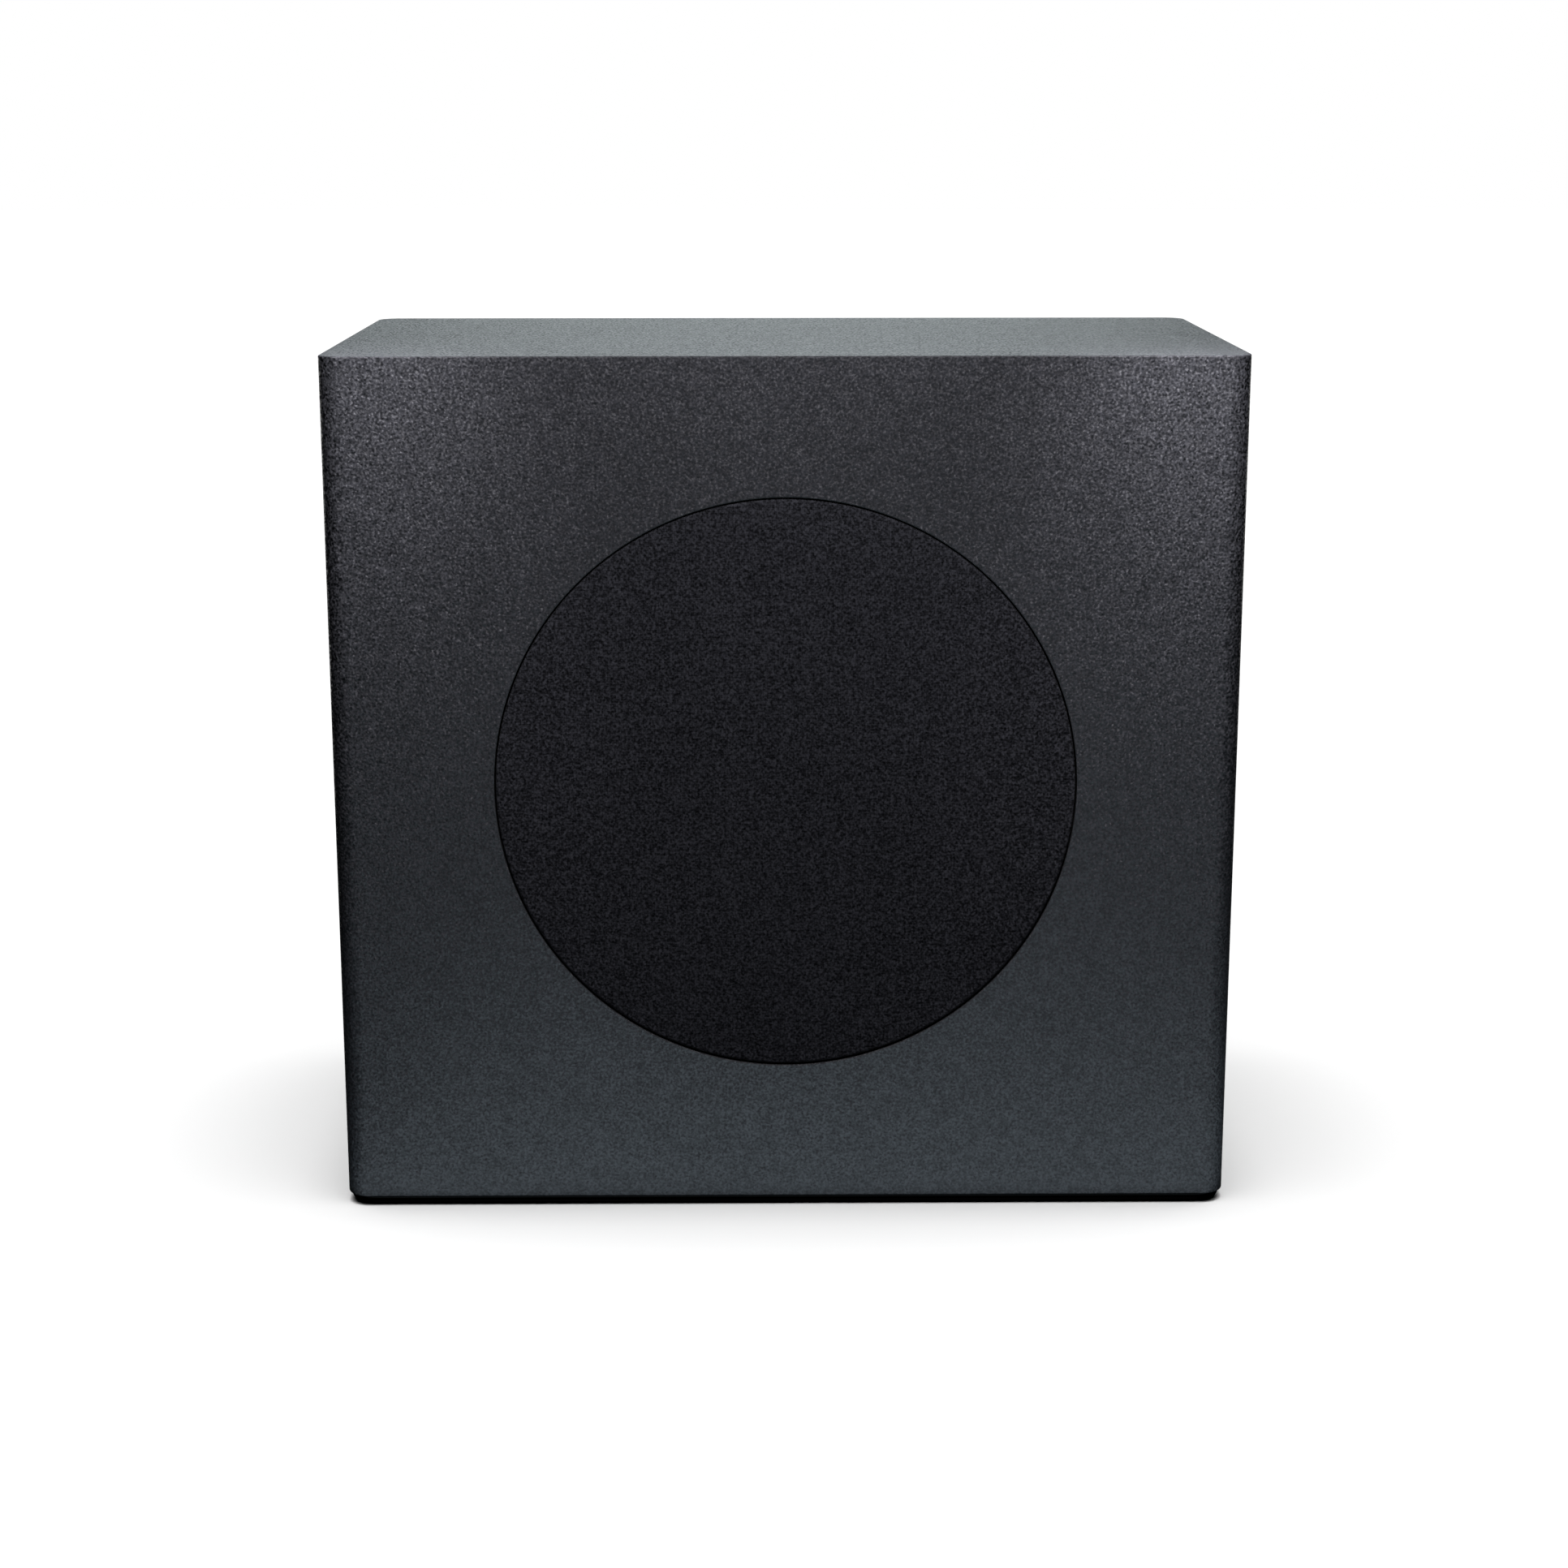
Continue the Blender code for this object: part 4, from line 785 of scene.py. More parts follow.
def make_grille_cloth():
    """The cloth stretched over its frame: a flat face, a round turn and a skirt."""
    face, hem, turn = CLOTH.low.y, CLOTH.high.y, 0.0012
    proud = GRILLE_RADIUS + 0.0003  # the knit's thickness takes up part of the gap
    inner = GRILLE_RADIUS - CLOTH_THICKNESS
    outside = softened([(0, face, 0), (proud, face, turn), (proud, hem, 0)], False, 8)
    inside = [(inner, hem, 0), (inner, INSIDE_FACE, turn - CLOTH_THICKNESS), (0, INSIDE_FACE, 0)]
    rings = [(outside[1][0] * share, face) for share in (0.2, 0.4, 0.6, 0.8)]
    profile = outside[:1] + rings + outside[1:] + softened(inside, False, 8)
    fabric = Shape().turned(profile, FINE_RING, CLOTH.centre).made("grille_fabric")
    finish(fabric, KNIT, "grille_cloth", body="grille")


def make_grille_ring():
    """The ring under the cloth, with its crossed ribs, its hub and its four pegs."""
    x, z = CLOTH.centre
    front, back, tip = INSIDE_FACE + GAP, CLOTH.high.y, RING_FRAME.high.y
    outer, inner = GRILLE_RADIUS - CLOTH_THICKNESS - GAP, 0.1085
    corners = band(inner, outer, front, back, 0.0006, 0.0006, 0.0004, 0.0006)
    ring = Shape().lathe(corners, RING, CLOTH.centre).made("grille_ring")
    reach, half_width, rib_front, rib_back = inner + 0.003, 0.002, front + 0.0006, front + 0.0022
    ribs = Shape()
    for half_x, half_z in ((reach, half_width), (half_width, reach)):
        ribs.block((x - half_x, rib_front, z - half_z), (x + half_x, rib_back, z + half_z), 0.0005, 0.0004)
    cut(ring, ribs, "UNION")
    cut(ring, Shape().rod(0.007, rib_front, rib_back, CLOTH.centre, WHEEL, edge=0.0004), "UNION")
    radius, circle, root, shoulder = 0.0022, 0.1125, back - 0.002, tip - 0.002
    corners = [(0, root, 0), (radius, root, 0), (radius, shoulder, 0.0006)]
    corners += [(radius - 0.0008, tip, 0.0005), (0, tip, 0)]
    pegs = Shape()
    for quarter in range(4):
        place = on_circle(circle, math.radians(45 + 90 * quarter), CLOTH.centre)
        pegs.lathe(corners, SMALL_WHEEL, place, ARC)
    cut(ring, pegs, "UNION")
    finish(ring, PLASTIC, "grille_frame", body="grille")


def make_grille_sockets():
    """The rubber cups that hold the grille's pegs."""
    body, bore, collar_depth, floor = 0.0040, 0.0026, 0.0012, 0.001
    for index, socket in enumerate(SOCKETS):
        collar, front, end = socket.half.x, socket.low.y, socket.high.y
        seat, inside = front + collar_depth, end - floor
        corners = [(bore, front, 0.0004), (collar, front, 0.0005), (collar, seat, 0.0002)]
        corners += [(body, seat, 0.0002), (body, end, 0.0006), (0, end, 0), (0, inside, 0)]
        corners.append((bore, inside, 0.0003))
        cup = Shape().lathe(corners, SMALL_WHEEL * 2, socket.centre).made(f"grille_grommet_{index + 1}")
        finish(cup, RUBBER, f"grille_socket_{index + 1}")


# ---------------------------------------------------------------- woofer

SCREWS = 6
SCREW_CIRCLE = 0.0987
CONE_RADIUS = CONE.half.x
RIM = CONE_RADIUS - 0.004  # where the cone's flat rim starts
NECK = 0.0199
BASKET_OPENING = 0.0885
LANDING = 0.038  # depth of the spider's seat
SECTORS = 24
SECTOR_STEPS = 6


def on_circle(radius, angle, centre=MIDDLE):
    return (centre[0] + radius * math.cos(angle), centre[1] + radius * math.sin(angle))


SCREW_PLACES = [on_circle(SCREW_CIRCLE, math.tau * (index + 0.5) / SCREWS) for index in range(SCREWS)]


def section(corners, steps=4):
    """A woofer part's section, from (radius, depth behind the driver board's face, corner radius)."""
    return [(radius, DRIVER_FACE + depth) for radius, depth in softened(corners, steps=steps)]


def thin_section(face, thickness):
    """A thin skin's section: the (radius, depth) points of its face, and the same points moved back."""
    points = face + [(radius, depth + thickness) for radius, depth in reversed(face)]
    return [(radius, DRIVER_FACE + depth) for radius, depth in points]


def woofer_piece(name, profile, look, node, body="cabinet"):
    finish(Shape().turned(profile, centre=MIDDLE).made(name), look, node, body=body)


def make_chassis():
    """The pressed basket: a flange, a wall with six windows, the spider's landing and the magnet's seat."""
    flange, thick, wall = BASKET.half.x, 0.003, 0.002
    ledge, seat, bore = 0.060, 0.050, 0.030
    end = BASKET.high.y - DRIVER_FACE
    corners = [(BASKET_OPENING, 0, 0.0006), (flange, 0, 0.0008), (flange, thick, 0.0006)]
    corners += [(BASKET_OPENING + wall, thick, 0.0012), (ledge + wall, LANDING, 0.0006)]
    corners += [(ledge + wall, LANDING + wall, 0.0008), (seat + wall, LANDING + wall, 0.0015)]
    corners += [(seat + wall, end, 0.0015), (bore, end, 0.0004), (bore, end - wall, 0.0004)]
    corners += [(seat, end - wall, 0.0008), (seat, LANDING, 0.0010), (ledge, LANDING, 0.0006)]
    corners += [(BASKET_OPENING, thick, 0.0010)]
    chassis = Shape().turned(section(corners), centre=MIDDLE).made("driver_chassis")
    near, far, half_width, radius = 0.0650, 0.0848, 0.021, 0.006
    outline = rectangle((near, -half_width), (far, half_width), radius, 6)
    windows, screw_hole = Shape(), 0.0022
    for index in range(SCREWS):
        window = turned_about(outline, math.tau * index / SCREWS, MIDDLE)
        windows.prism(window, DRIVER_FACE + thick + MM, DRIVER_FACE + LANDING - 0.0015)
    cut(chassis, windows)
    cut(chassis, Shape().rods(SCREW_PLACES, screw_hole, DRIVER_FACE - MM, DRIVER_FACE + thick + MM))
    soften_edges(chassis, 0.0003)
    finish(chassis, STEEL, "woofer_basket")


def make_driver_gasket():
    """The foam ring on the flange, with a hole round each screw's head."""
    inner, outer, front, hole = BASKET_OPENING + 0.0055, BASKET.half.x - 0.0004, -0.0023, 0.0042
    corners = band(inner, outer, front, -GAP, 0.0004, 0.0004, 0.0002, 0.0002)
    gasket = Shape().turned(section(corners), centre=MIDDLE).made("driver_gasket")
    cut(gasket, Shape().rods(SCREW_PLACES, hole, DRIVER_FACE + front - MM, DRIVER_FACE + MM))
    finish(gasket, FOAM, "woofer_gasket")


def make_screws(name, node, places, seat, out, head, height, shaft, length):
    """Pan-head screws that share one mesh, each turned its own way; out is the way that the heads face."""
    thread, pitch = 0.0003, 0.0009
    corners = [(0, height, 0), (head * 0.7, height, 0.0008), (head, height * 0.42, 0.0006)]
    profile = softened(corners + [(head, 0, 0.0001), (shaft, 0, 0)], steps=3)
    core = shaft - thread
    for turn in range(int((length - 2 * shaft) / pitch)):
        start = -0.0004 - turn * pitch
        profile += [(core, start), (shaft, start - pitch * 0.5), (core, start - pitch * 0.9)]
    profile += [(core, shaft - length), (0, -length)]
    levels = [(radius, out * (GAP + level)) for radius, level in profile]
    first = Shape().turned(levels, SMALL_WHEEL).made(f"{name}_1")
    cut(first, Shape().cross((0, 0), out * (GAP + height), head * 0.55, 0.0009))
    for index, place in enumerate(places):
        piece = added(f"{name}_{index + 1}", first.data) if index else first
        piece.location = (place[0], seat, place[1])
        piece.rotation_euler = (0, 0.4 + index * 1.1, 0)
        finish(piece, STEEL, f"{node}_{index + 1}")


def sector_mesh(name, places, normals, rows, sector, look):
    """One sector of a turned ring, with the ring's own normals."""
    steps, width = SECTORS * SECTOR_STEPS, SECTOR_STEPS + 1
    columns = [(sector * SECTOR_STEPS + column) % steps for column in range(width)]
    used = [row * steps + column for row in range(rows) for column in columns]
    faces = []
    for row in range(rows):
        here, following = row * width, (row + 1) % rows * width
        for column in range(SECTOR_STEPS):
            faces.append((here + column, here + column + 1, following + column + 1, following + column))
    corner, beside, below = places[used[0]], places[used[1]], places[used[width]]
    if (beside - corner).cross(below - corner).dot(normals[used[0]]) < 0:
        faces = [face[::-1] for face in faces]
    data = bpy.data.meshes.new(name)
    data.from_pydata([places[index] for index in used], [], faces)
    data.shade_smooth()
    data.normals_split_custom_set_from_vertices([normals[index] for index in used])
    data.materials.append(look.material)
    return data


def make_sectors(name, node, profile, fixed, moving, look):
    """A turned ring cut along its radii into sectors, each its own piece.
    They keep the whole ring's normals, so that they read as one piece."""
    whole = Shape().turned(profile, SECTORS * SECTOR_STEPS, MIDDLE).made(name)
    places = [vertex.co.copy() for vertex in whole.data.vertices]
    normals = [vertex.normal.copy() for vertex in whole.data.vertices]
    bpy.data.objects.remove(whole)
    for sector in range(SECTORS):
        data = sector_mesh(f"{name}_{sector + 1:02d}", places, normals, len(profile), sector, look)
        piece = added(data.name, data)
        middle = math.tau * (sector + 0.5) / SECTORS
        start, end = on_circle(fixed * math.cos(math.pi / SECTORS), middle), on_circle(moving, middle)
        placed(*start, DRIVER_FACE)
        placed(*end, DRIVER_FACE)
        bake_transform(piece)
        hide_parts(node)


def make_surround():
    """The half-roll rubber edge, with a lip on the cone and one on the flange."""
    thickness, lip = 0.001, 0.004
    roll = (BASKET_OPENING + 0.001 - CONE_RADIUS) / 2
    outer = CONE_RADIUS + 2 * roll
    front, crest = -GAP - thickness, -GAP - thickness - roll
    inside, outside = CONE_RADIUS + thickness, outer - thickness
    bend, inner_bend = roll - 0.0005, roll - 0.0014
    corners = [(RIM, front, 0.0003), (CONE_RADIUS, front, 0.0004), (CONE_RADIUS, crest, bend)]
    corners += [(outer, crest, bend), (outer, front, 0.0004), (outer + lip, front, 0.0003)]
    corners += [(outer + lip, -GAP, 0.0003), (outside, -GAP, 0.0002)]
    corners += [(outside, crest + thickness, inner_bend), (inside, crest + thickness, inner_bend)]
    corners += [(inside, -GAP, 0.0002), (RIM, -GAP, 0.0003)]
    make_sectors("surround", "woofer_surround", section(corners, 8), outer + lip / 2, CONE_RADIUS, RUBBER)


def make_spider():
    """The corrugated disc that centres the voice coil."""
    thickness, radius = 0.0008, Place("spider").half.x
    level = LANDING - GAP - thickness
    start, end, waves, height, steps = 0.023, 0.050, 5, 0.0014, 60
    face = [(NECK, level)]
    for step in range(steps + 1):
        share = step / steps
        face.append((start + (end - start) * share, level + height * math.sin(math.tau * waves * share)))
    face.append((radius, level))
    make_sectors("spider_disc", "spider", thin_section(face, thickness), end, start, COTTON)


def cone_depth(radius):
    """Depth of the cone's face: a shallow curve from its flat rim down to its neck."""
    depth, curve = 0.025, 1.12
    return depth * (1 - ((radius - NECK) / (RIM - NECK)) ** curve)


def make_cone():
    """The paper cone, its dust cap and the glue between them."""
    thickness, steps = 0.001, 28
    radii = [NECK + (RIM - NECK) * step / steps for step in range(steps + 1)]
    face = [(radius, cone_depth(radius)) for radius in radii] + [(CONE_RADIUS, 0)]
    woofer_piece("driver_cone", thin_section(face, thickness), PULP, "woofer_cone", "cone")
    radius, height, skin, steps = 0.036, 0.011, 0.0008, 18
    base = cone_depth(radius) - GAP - skin - 0.0004
    face = [(radius * step / steps, base - height * (1 - (step / steps) ** 2)) for step in range(steps + 1)]
    woofer_piece("centre_cap", thin_section(face, skin), PULP, "dust_cap", "cone")
    bead, sides, middle = 0.0009, 12, DRIVER_FACE + cone_depth(radius) - 0.0006
    ring = [on_circle(bead, math.tau * side / sides, (radius, middle)) for side in range(sides)]
    finish(Shape().turned(ring, centre=MIDDLE).made("cap_glue"), GLUE, body="cone")


def make_motor():
    """Former and winding on the cone; top plate, magnet and pole on the basket."""
    former, gap_radius = 0.0196, 0.0212
    magnet_radius, magnet_bore, plate_radius, pole_radius, vent = 0.060, 0.030, 0.056, 0.0185, 0.005
    seat = BASKET.high.y - DRIVER_FACE
    plate_start, plate_end = seat + GAP, seat + GAP + 0.006
    magnet_start, magnet_end = plate_end + GAP, plate_end + GAP + 0.018
    back_start, back_end = magnet_end + GAP, magnet_end + GAP + 0.006
    bore, start, end = former - 0.0004, 0.0235, 0.066
    corners = band(bore, former, start, end, 0.0001, 0.0001, 0.0001, 0.0001)
    woofer_piece("bobbin", section(corners, 2), ALUMINIUM, "coil_former", "cone")
    wire, turns, first = 0.0004, 35, DRIVER_FACE + 0.0503
    inner, outer, valley = former + GAP, former + 0.001, former + 0.0009
    profile = [(inner, first)]
    for turn in range(turns):
        level = first + turn * wire
        profile += [(valley, level), (outer, level + wire / 2)]
    profile += [(valley, first + turns * wire), (inner, first + turns * wire)]
    woofer_piece("coil_winding", profile, COPPER, "voice_coil", "cone")
    corners = band(gap_radius, plate_radius, plate_start, plate_end, 0.0005, 0.0008, 0.0004, 0.0004)
    woofer_piece("front_plate", section(corners), ZINC, "top_plate")
    corners = band(magnet_bore, magnet_radius, magnet_start, magnet_end, 0.0006, 0.0015, 0.0015, 0.0006)
    woofer_piece("magnet", section(corners), FERRITE, "ring_magnet")
    corners = [(vent, seat, 0.0015), (pole_radius, seat, 0.0010), (pole_radius, back_start, 0.0020)]
    corners += [(plate_radius, back_start, 0.0010), (plate_radius, back_end, 0.0012)]
    corners.append((vent, back_end, 0.0025))
    woofer_piece("pole_and_back_plate", section(corners, 5), ZINC, "pole_yoke")


def smooth_route(corners, spacing):
    """Evenly stepped points along a Catmull-Rom curve through a lead's own points."""
    ends = [2 * corners[0] - corners[1]] + corners + [2 * corners[-1] - corners[-2]]
    route = []
    for before, start, end, after in zip(ends, ends[1:], ends[2:], ends[3:]):
        steps = max(1, round((end - start).length / spacing))
        for step in range(steps):
            t = step / steps
            bend = (2 * before - 5 * start + 4 * end - after) * t**2
            twist = (3 * start - before - 3 * end + after) * t**3
            route.append((2 * start + (end - before) * t + bend + twist) / 2)
    return route + [corners[-1]]


STRIP = Place("woofer_terminals")
TAB_REACH = 0.004
TAB_SIDE = 0.006


def make_terminals():
    """The terminal strip with its two spade tabs."""
    strip = Shape().block(STRIP.low, STRIP.high, 0.0010, 0.0003, "X")
    finish(strip.made("terminal_strip"), PLASTIC, "woofer_terminals")
    tabs, half_thick, half_width = Shape(), 0.0004, 0.0024
    for side in (-TAB_SIDE, TAB_SIDE):
        y, z = STRIP.middle.y, STRIP.middle.z + side
        low = Vector((STRIP.high.x - MM, y - half_thick, z - half_width))
        high = Vector((STRIP.high.x + TAB_REACH, y + half_thick, z + half_width))
        tabs.block(low, high, 0.0003, 0.00008, "X", 2)
    finish(tabs.made("terminal_tabs"), ZINC)


def make_leads():
    """The two braided leads from the terminals to the cone, each under a dab of glue there."""
    half_thick, bend_end, spread, rise, steps = 0.0006, 0.0520, 0.0020, 0.0011, 8
    route = [(0.0780, 0.0250), (0.0690, 0.0275), (0.0580, 0.0250), (0.0500, 0.0165), (0.0488, 0.0136)]
    for name, side in (("upper", TAB_SIDE), ("lower", -TAB_SIDE)):
        corners = [Vector((WOOFER_X + x, DRIVER_FACE + depth, WOOFER_Z + side)) for x, depth in route]
        start, end = corners[0], corners[-1]
        lead = Shape().swept(smooth_route(corners, half_thick), half_thick, 10).made(f"{name}_braid")
        finish(lead, BRAID, body=None)
        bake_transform(lead)
        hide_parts(f"{name}_tinsel_lead")
        angles = [math.pi * step / steps for step in range(steps + 1)]
        dome = [(spread * math.sin(a), end.y + 0.0002 + rise * math.cos(a)) for a in angles]
        dab = Shape().turned(dome, 24, (end.x, end.z)).made(f"{name}_lead_glue")
        finish(dab, GLUE, body="cone")


# ---------------------------------------------------------------- back panel

PLATE_THICKNESS = 0.0025
PLATE_FACE = PLATE.high.y
PLATE_INSIDE = PLATE_FACE - PLATE_THICKNESS
INLET = Place("mains_inlet")
BUTTON = Place("pairing_button")
LIGHT = Place("status_light")
INLET_BODY = (0.0110, 0.0070)  # half sizes of the part that goes through the plate
INLET_CORNER = 0.003


def make_port():
    """The bass port: a bell mouth at the back, a tube, and a smaller bell inside."""
    flange, radius, wall = PORT.half.x, 0.029, 0.002
    face, start = PORT.high.y, PORT.low.y
    mouth, lip = flange - 0.005, face - wall
    flare, inner_flare = mouth - radius, 0.005
    corners = [(radius, face, flare), (radius, start, inner_flare)]
    corners += [(radius + inner_flare + wall, start, 0.0008)]
    corners += [(radius + wall, start + inner_flare + wall, 0.0010)]
    corners += [(radius + wall, face - flare - wall, 0.0010)]
    corners += [(mouth, face - 2 * wall, 0.0005), (mouth, lip, 0)]
    corners += [(flange, lip, 0.0003), (flange, face, 0.0009)]
    port = Shape().lathe(corners, RING, PORT.centre, 14).made("bass_port")
    finish(port, PLASTIC, "port_tube")


def grid(place, inset, rows):
    """Places in a box's two columns, each as far in from its side."""
    return [(column, row) for column in (place.low.x + inset, place.high.x - inset) for row in rows]


PLATE_INSET = 0.0055
POST_INSET = 0.006
PLATE_ROWS = (PLATE.low.z + PLATE_INSET, PLATE.middle.z, PLATE.high.z - PLATE_INSET)
PLATE_SCREWS = grid(PLATE, PLATE_INSET, PLATE_ROWS)
POSTS = grid(BOARD, POST_INSET, (BOARD.low.z + POST_INSET, BOARD.high.z - POST_INSET))


def around(centre, half_x, half_z, radius, steps=ARC):
    """A rectangle with round corners about a centre."""
    x, z = centre
    return rectangle((x - half_x, z - half_z), (x + half_x, z + half_z), radius, steps)


def make_plate():
    """The amplifier plate: soft edges, a blank label bed, cutouts, and posts for the board."""
    edge, steps = 0.0005, 4
    outlines = [(plate_window(-0.0002), PLATE_INSIDE), (plate_window(0), PLATE_INSIDE + 0.0002)]
    for step in range(steps + 1):
        angle = math.pi / 2 * step / steps
        outline = plate_window(-edge * (1 - math.cos(angle)))
        outlines.append((outline, PLATE_FACE - edge * (1 - math.sin(angle))))
    plate = Shape().stack(outlines).made("amplifier_panel")
    button_hole, light_hole, screw_hole, post, label_depth = 0.0034, 0.0021, 0.0020, 0.0030, 0.0003
    start, end = PLATE_INSIDE - MM, PLATE_FACE + MM
    half_x, half_z = INLET_BODY
    holes = Shape().prism(around(INLET.centre, half_x + GAP, half_z + GAP, INLET_CORNER), start, end)
    holes.rod(button_hole, start, end, BUTTON.centre, WHEEL)
    holes.rod(light_hole, start, end, LIGHT.centre)
    cut(plate, holes.rods(PLATE_SCREWS, screw_hole, start, end))
    label = rectangle((-0.052, 0.090), (0.052, 0.132), 0.002)
    cut(plate, Shape().prism(label, PLATE_FACE - label_depth, end))
    cut(plate, Shape().rods(POSTS, post, BOARD.high.y + GAP, PLATE_INSIDE + MM, edge=0.0003), "UNION")
    finish(plate, PANEL_PLASTIC, "amplifier_plate", flat_normals=True)
    make_screws("panel_screw", "plate_screw", PLATE_SCREWS, PLATE_FACE, 1,
                head=0.0034, height=0.0018, shaft=0.0015, length=0.0080)


def make_inlet():
    """The two-pin inlet: a flange, a body, a figure-eight socket and its two pins."""
    socket, spread, waist = 0.0042, 0.0036, 0.0030
    pin, pin_spread, pin_length = 0.0012, 0.0033, 0.0075
    x, z = INLET.centre
    half_x, half_z = INLET_BODY
    seat, face, floor = PLATE_FACE + GAP, INLET.high.y, INLET.low.y + 0.0025
    flange = Shape().block(Vector((INLET.low.x, seat, INLET.low.z)), INLET.high, INLET_CORNER, 0.0004)
    inlet = flange.made("inlet_housing")
    low = Vector((x - half_x, INLET.low.y, z - half_z))
    high = Vector((x + half_x, seat + 0.0007, z + half_z))
    cut(inlet, Shape().block(low, high, INLET_CORNER, 0.0004), "UNION")
    corners = [(0, floor, 0), (socket, floor, 0.0004), (socket, face - 0.0006, 0.0004)]
    corners += [(socket + 0.0010, face + 0.0004, 0), (0, face + 0.0004, 0)]
    for side in (-spread, spread):
        cut(inlet, Shape().lathe(corners, WHEEL, (x + side, z), 3))
    cut(inlet, Shape().prism(around(INLET.centre, spread, waist, 0.0002, 1), floor, face + MM))
    finish(inlet, PLASTIC, "mains_inlet")
    places = [(x - pin_spread, z), (x + pin_spread, z)]
    pins = Shape().rods(places, pin, floor - 0.0005, floor + pin_length, edge=0.0007)
    finish(pins.made("inlet_pins"), ZINC)


def make_button():
    """The pairing button with its dished cap, and the switch behind it."""
    radius, collar, stem, shoulder = 0.0030, BUTTON.half.x, 0.0015, PLATE_INSIDE - GAP
    top, end, collar_end = BUTTON.high.y, BUTTON.low.y, PLATE_INSIDE - 0.0013
    corners = [(0, top - 0.00035, 0), (radius * 0.4, top - 0.00030, 0), (radius * 0.68, top - 0.00014, 0)]
    corners += [(radius, top, 0.0004), (radius, shoulder, 0), (collar, shoulder, 0.0002)]
    corners += [(collar, collar_end, 0.0002), (stem, collar_end, 0), (stem, end, 0.0003), (0, end, 0)]
    cap = Shape().lathe(corners, WHEEL, BUTTON.centre).made("pairing_cap")
    finish(cap, PLASTIC, "pairing_button", body="pairing_button")
    switch, hole, hole_depth = Place("pairing_switch"), 0.0019, 0.0026
    piece = Shape().block(switch.low, switch.high, 0.0004, 0.0002, steps=2).made("tact_switch")
    cut(piece, Shape().rod(hole, switch.high.y - hole_depth, switch.high.y + MM, BUTTON.centre))
    finish(piece, PLASTIC, "pairing_switch")


def make_light():
    """The light pipe, with a low dome outside and a collar inside."""
    lens, collar, rise, step, end = 0.0018, LIGHT.half.x, 0.0004, PLATE_INSIDE - GAP, LIGHT.low.y
    corners = [(lens * share, PLATE_FACE + rise * (1 - share**2), 0) for share in (0, 0.3, 0.6, 0.85)]
    corners += [(lens, PLATE_FACE, 0.0002), (lens, step, 0), (collar, step, 0.0003)]
    corners += [(collar, end, 0.0003), (0, end, 0)]
    finish(Shape().lathe(corners, SMALL_WHEEL, LIGHT.centre, 3).made("light_lens"), LENS, "status_light")


# ---------------------------------------------------------------- electronics


def make_circuit_board():
    """The board with its fixing holes, and rows of small parts on the side that faces the plate."""
    level = BOARD.high.y
    board = Shape().block(BOARD.low, BOARD.high, 0.0020, 0.0001).made("circuit_board")
    cut(board, Shape().rods(POSTS, 0.0016, BOARD.low.y - MM, level + MM))
    finish(board, LAMINATE, "main_board")
    draw = random.Random(7)
    sizes = ((0.0040, 0.0030), (0.0010, 0.0006), (0.0006, 0.0010), (0.0016, 0.0008))
    chip_height, cap_height = 0.0016, 0.0008
    margin, pitch, jitter, clearance = 0.014, 0.011, 0.002, 0.013
    kept_clear = POSTS + [BUTTON.centre, LIGHT.centre, INLET.centre]
    chips, caps = Shape(), Shape()
    for column in range(9):
        for row in range(11):
            x = BOARD.low.x + margin + column * pitch + draw.uniform(-jitter, jitter)
            z = BOARD.low.z + margin + row * pitch + draw.uniform(-jitter, jitter)
            size = draw.choice(sizes)
            if min(math.dist((x, z), place) for place in kept_clear) < clearance:
                continue
            target, height = (chips, chip_height) if size == sizes[0] else (caps, cap_height)
            low = Vector((x - size[0], level, z - size[1]))
            high = Vector((x + size[0], level + height, z + size[1]))
            target.block(low, high, 0.0002, 0.0001, steps=1, edge_steps=1)
    finish(chips.made("board_chips"), PLASTIC)
    finish(caps.made("board_capacitors"), CERAMIC)


def make_heatsink():
    """A finned extrusion, its edges broken."""
    sink = Place("heatsink")
    base, fin, fins, edge = 0.004, 0.002, 5, 0.0004
    left, right, seat, tip = sink.low.x, sink.high.x, sink.high.y, sink.low.y
    pitch = (right - left - fin) / (fins - 1)
    corners = [(left, seat, edge), (right, seat, edge)]
    for index in reversed(range(fins)):
        start = left + pitch * index
        corners += [(start + fin, tip, edge), (start, tip, edge)]
        if index:
            corners += [(start, seat - base, edge), (start - pitch + fin, seat - base, edge)]
    piece = Shape().prism(softened(corners, steps=3), sink.low.z, sink.high.z, "Z").made("finned_heatsink")
    finish(piece, ALUMINIUM, "heatsink")


def make_transformer():
    """A ferrite core, the bobbin's two cheeks and the taped winding between them."""
    whole = Place("transformer")
    bulge, overhang, foot, cheek, radius = Vector((0, 0, 0.008)), 0.004, 0.003, 0.0012, 0.0035
    core = Shape().block(whole.low + bulge, whole.high - bulge, 0.0008, 0.0005, "Z")
    finish(core.made("transformer_core"), FERRITE, "transformer")
    low = Vector((whole.low.x + overhang, whole.low.y + foot, whole.low.z))
    high = Vector((whole.high.x - overhang, whole.high.y - foot, whole.high.z))
    cheeks = Shape()
    for start in (low.y, high.y - cheek):
        end = Vector((high.x, start + cheek, high.z))
        cheeks.block(Vector((low.x, start, low.z)), end, radius, 0.0003)
    finish(cheeks.made("transformer_bobbin"), PLASTIC)
    inset = Vector((cheek, cheek, cheek))
    finish(Shape().block(low + inset, high - inset, radius).made("transformer_winding"), TAPE)


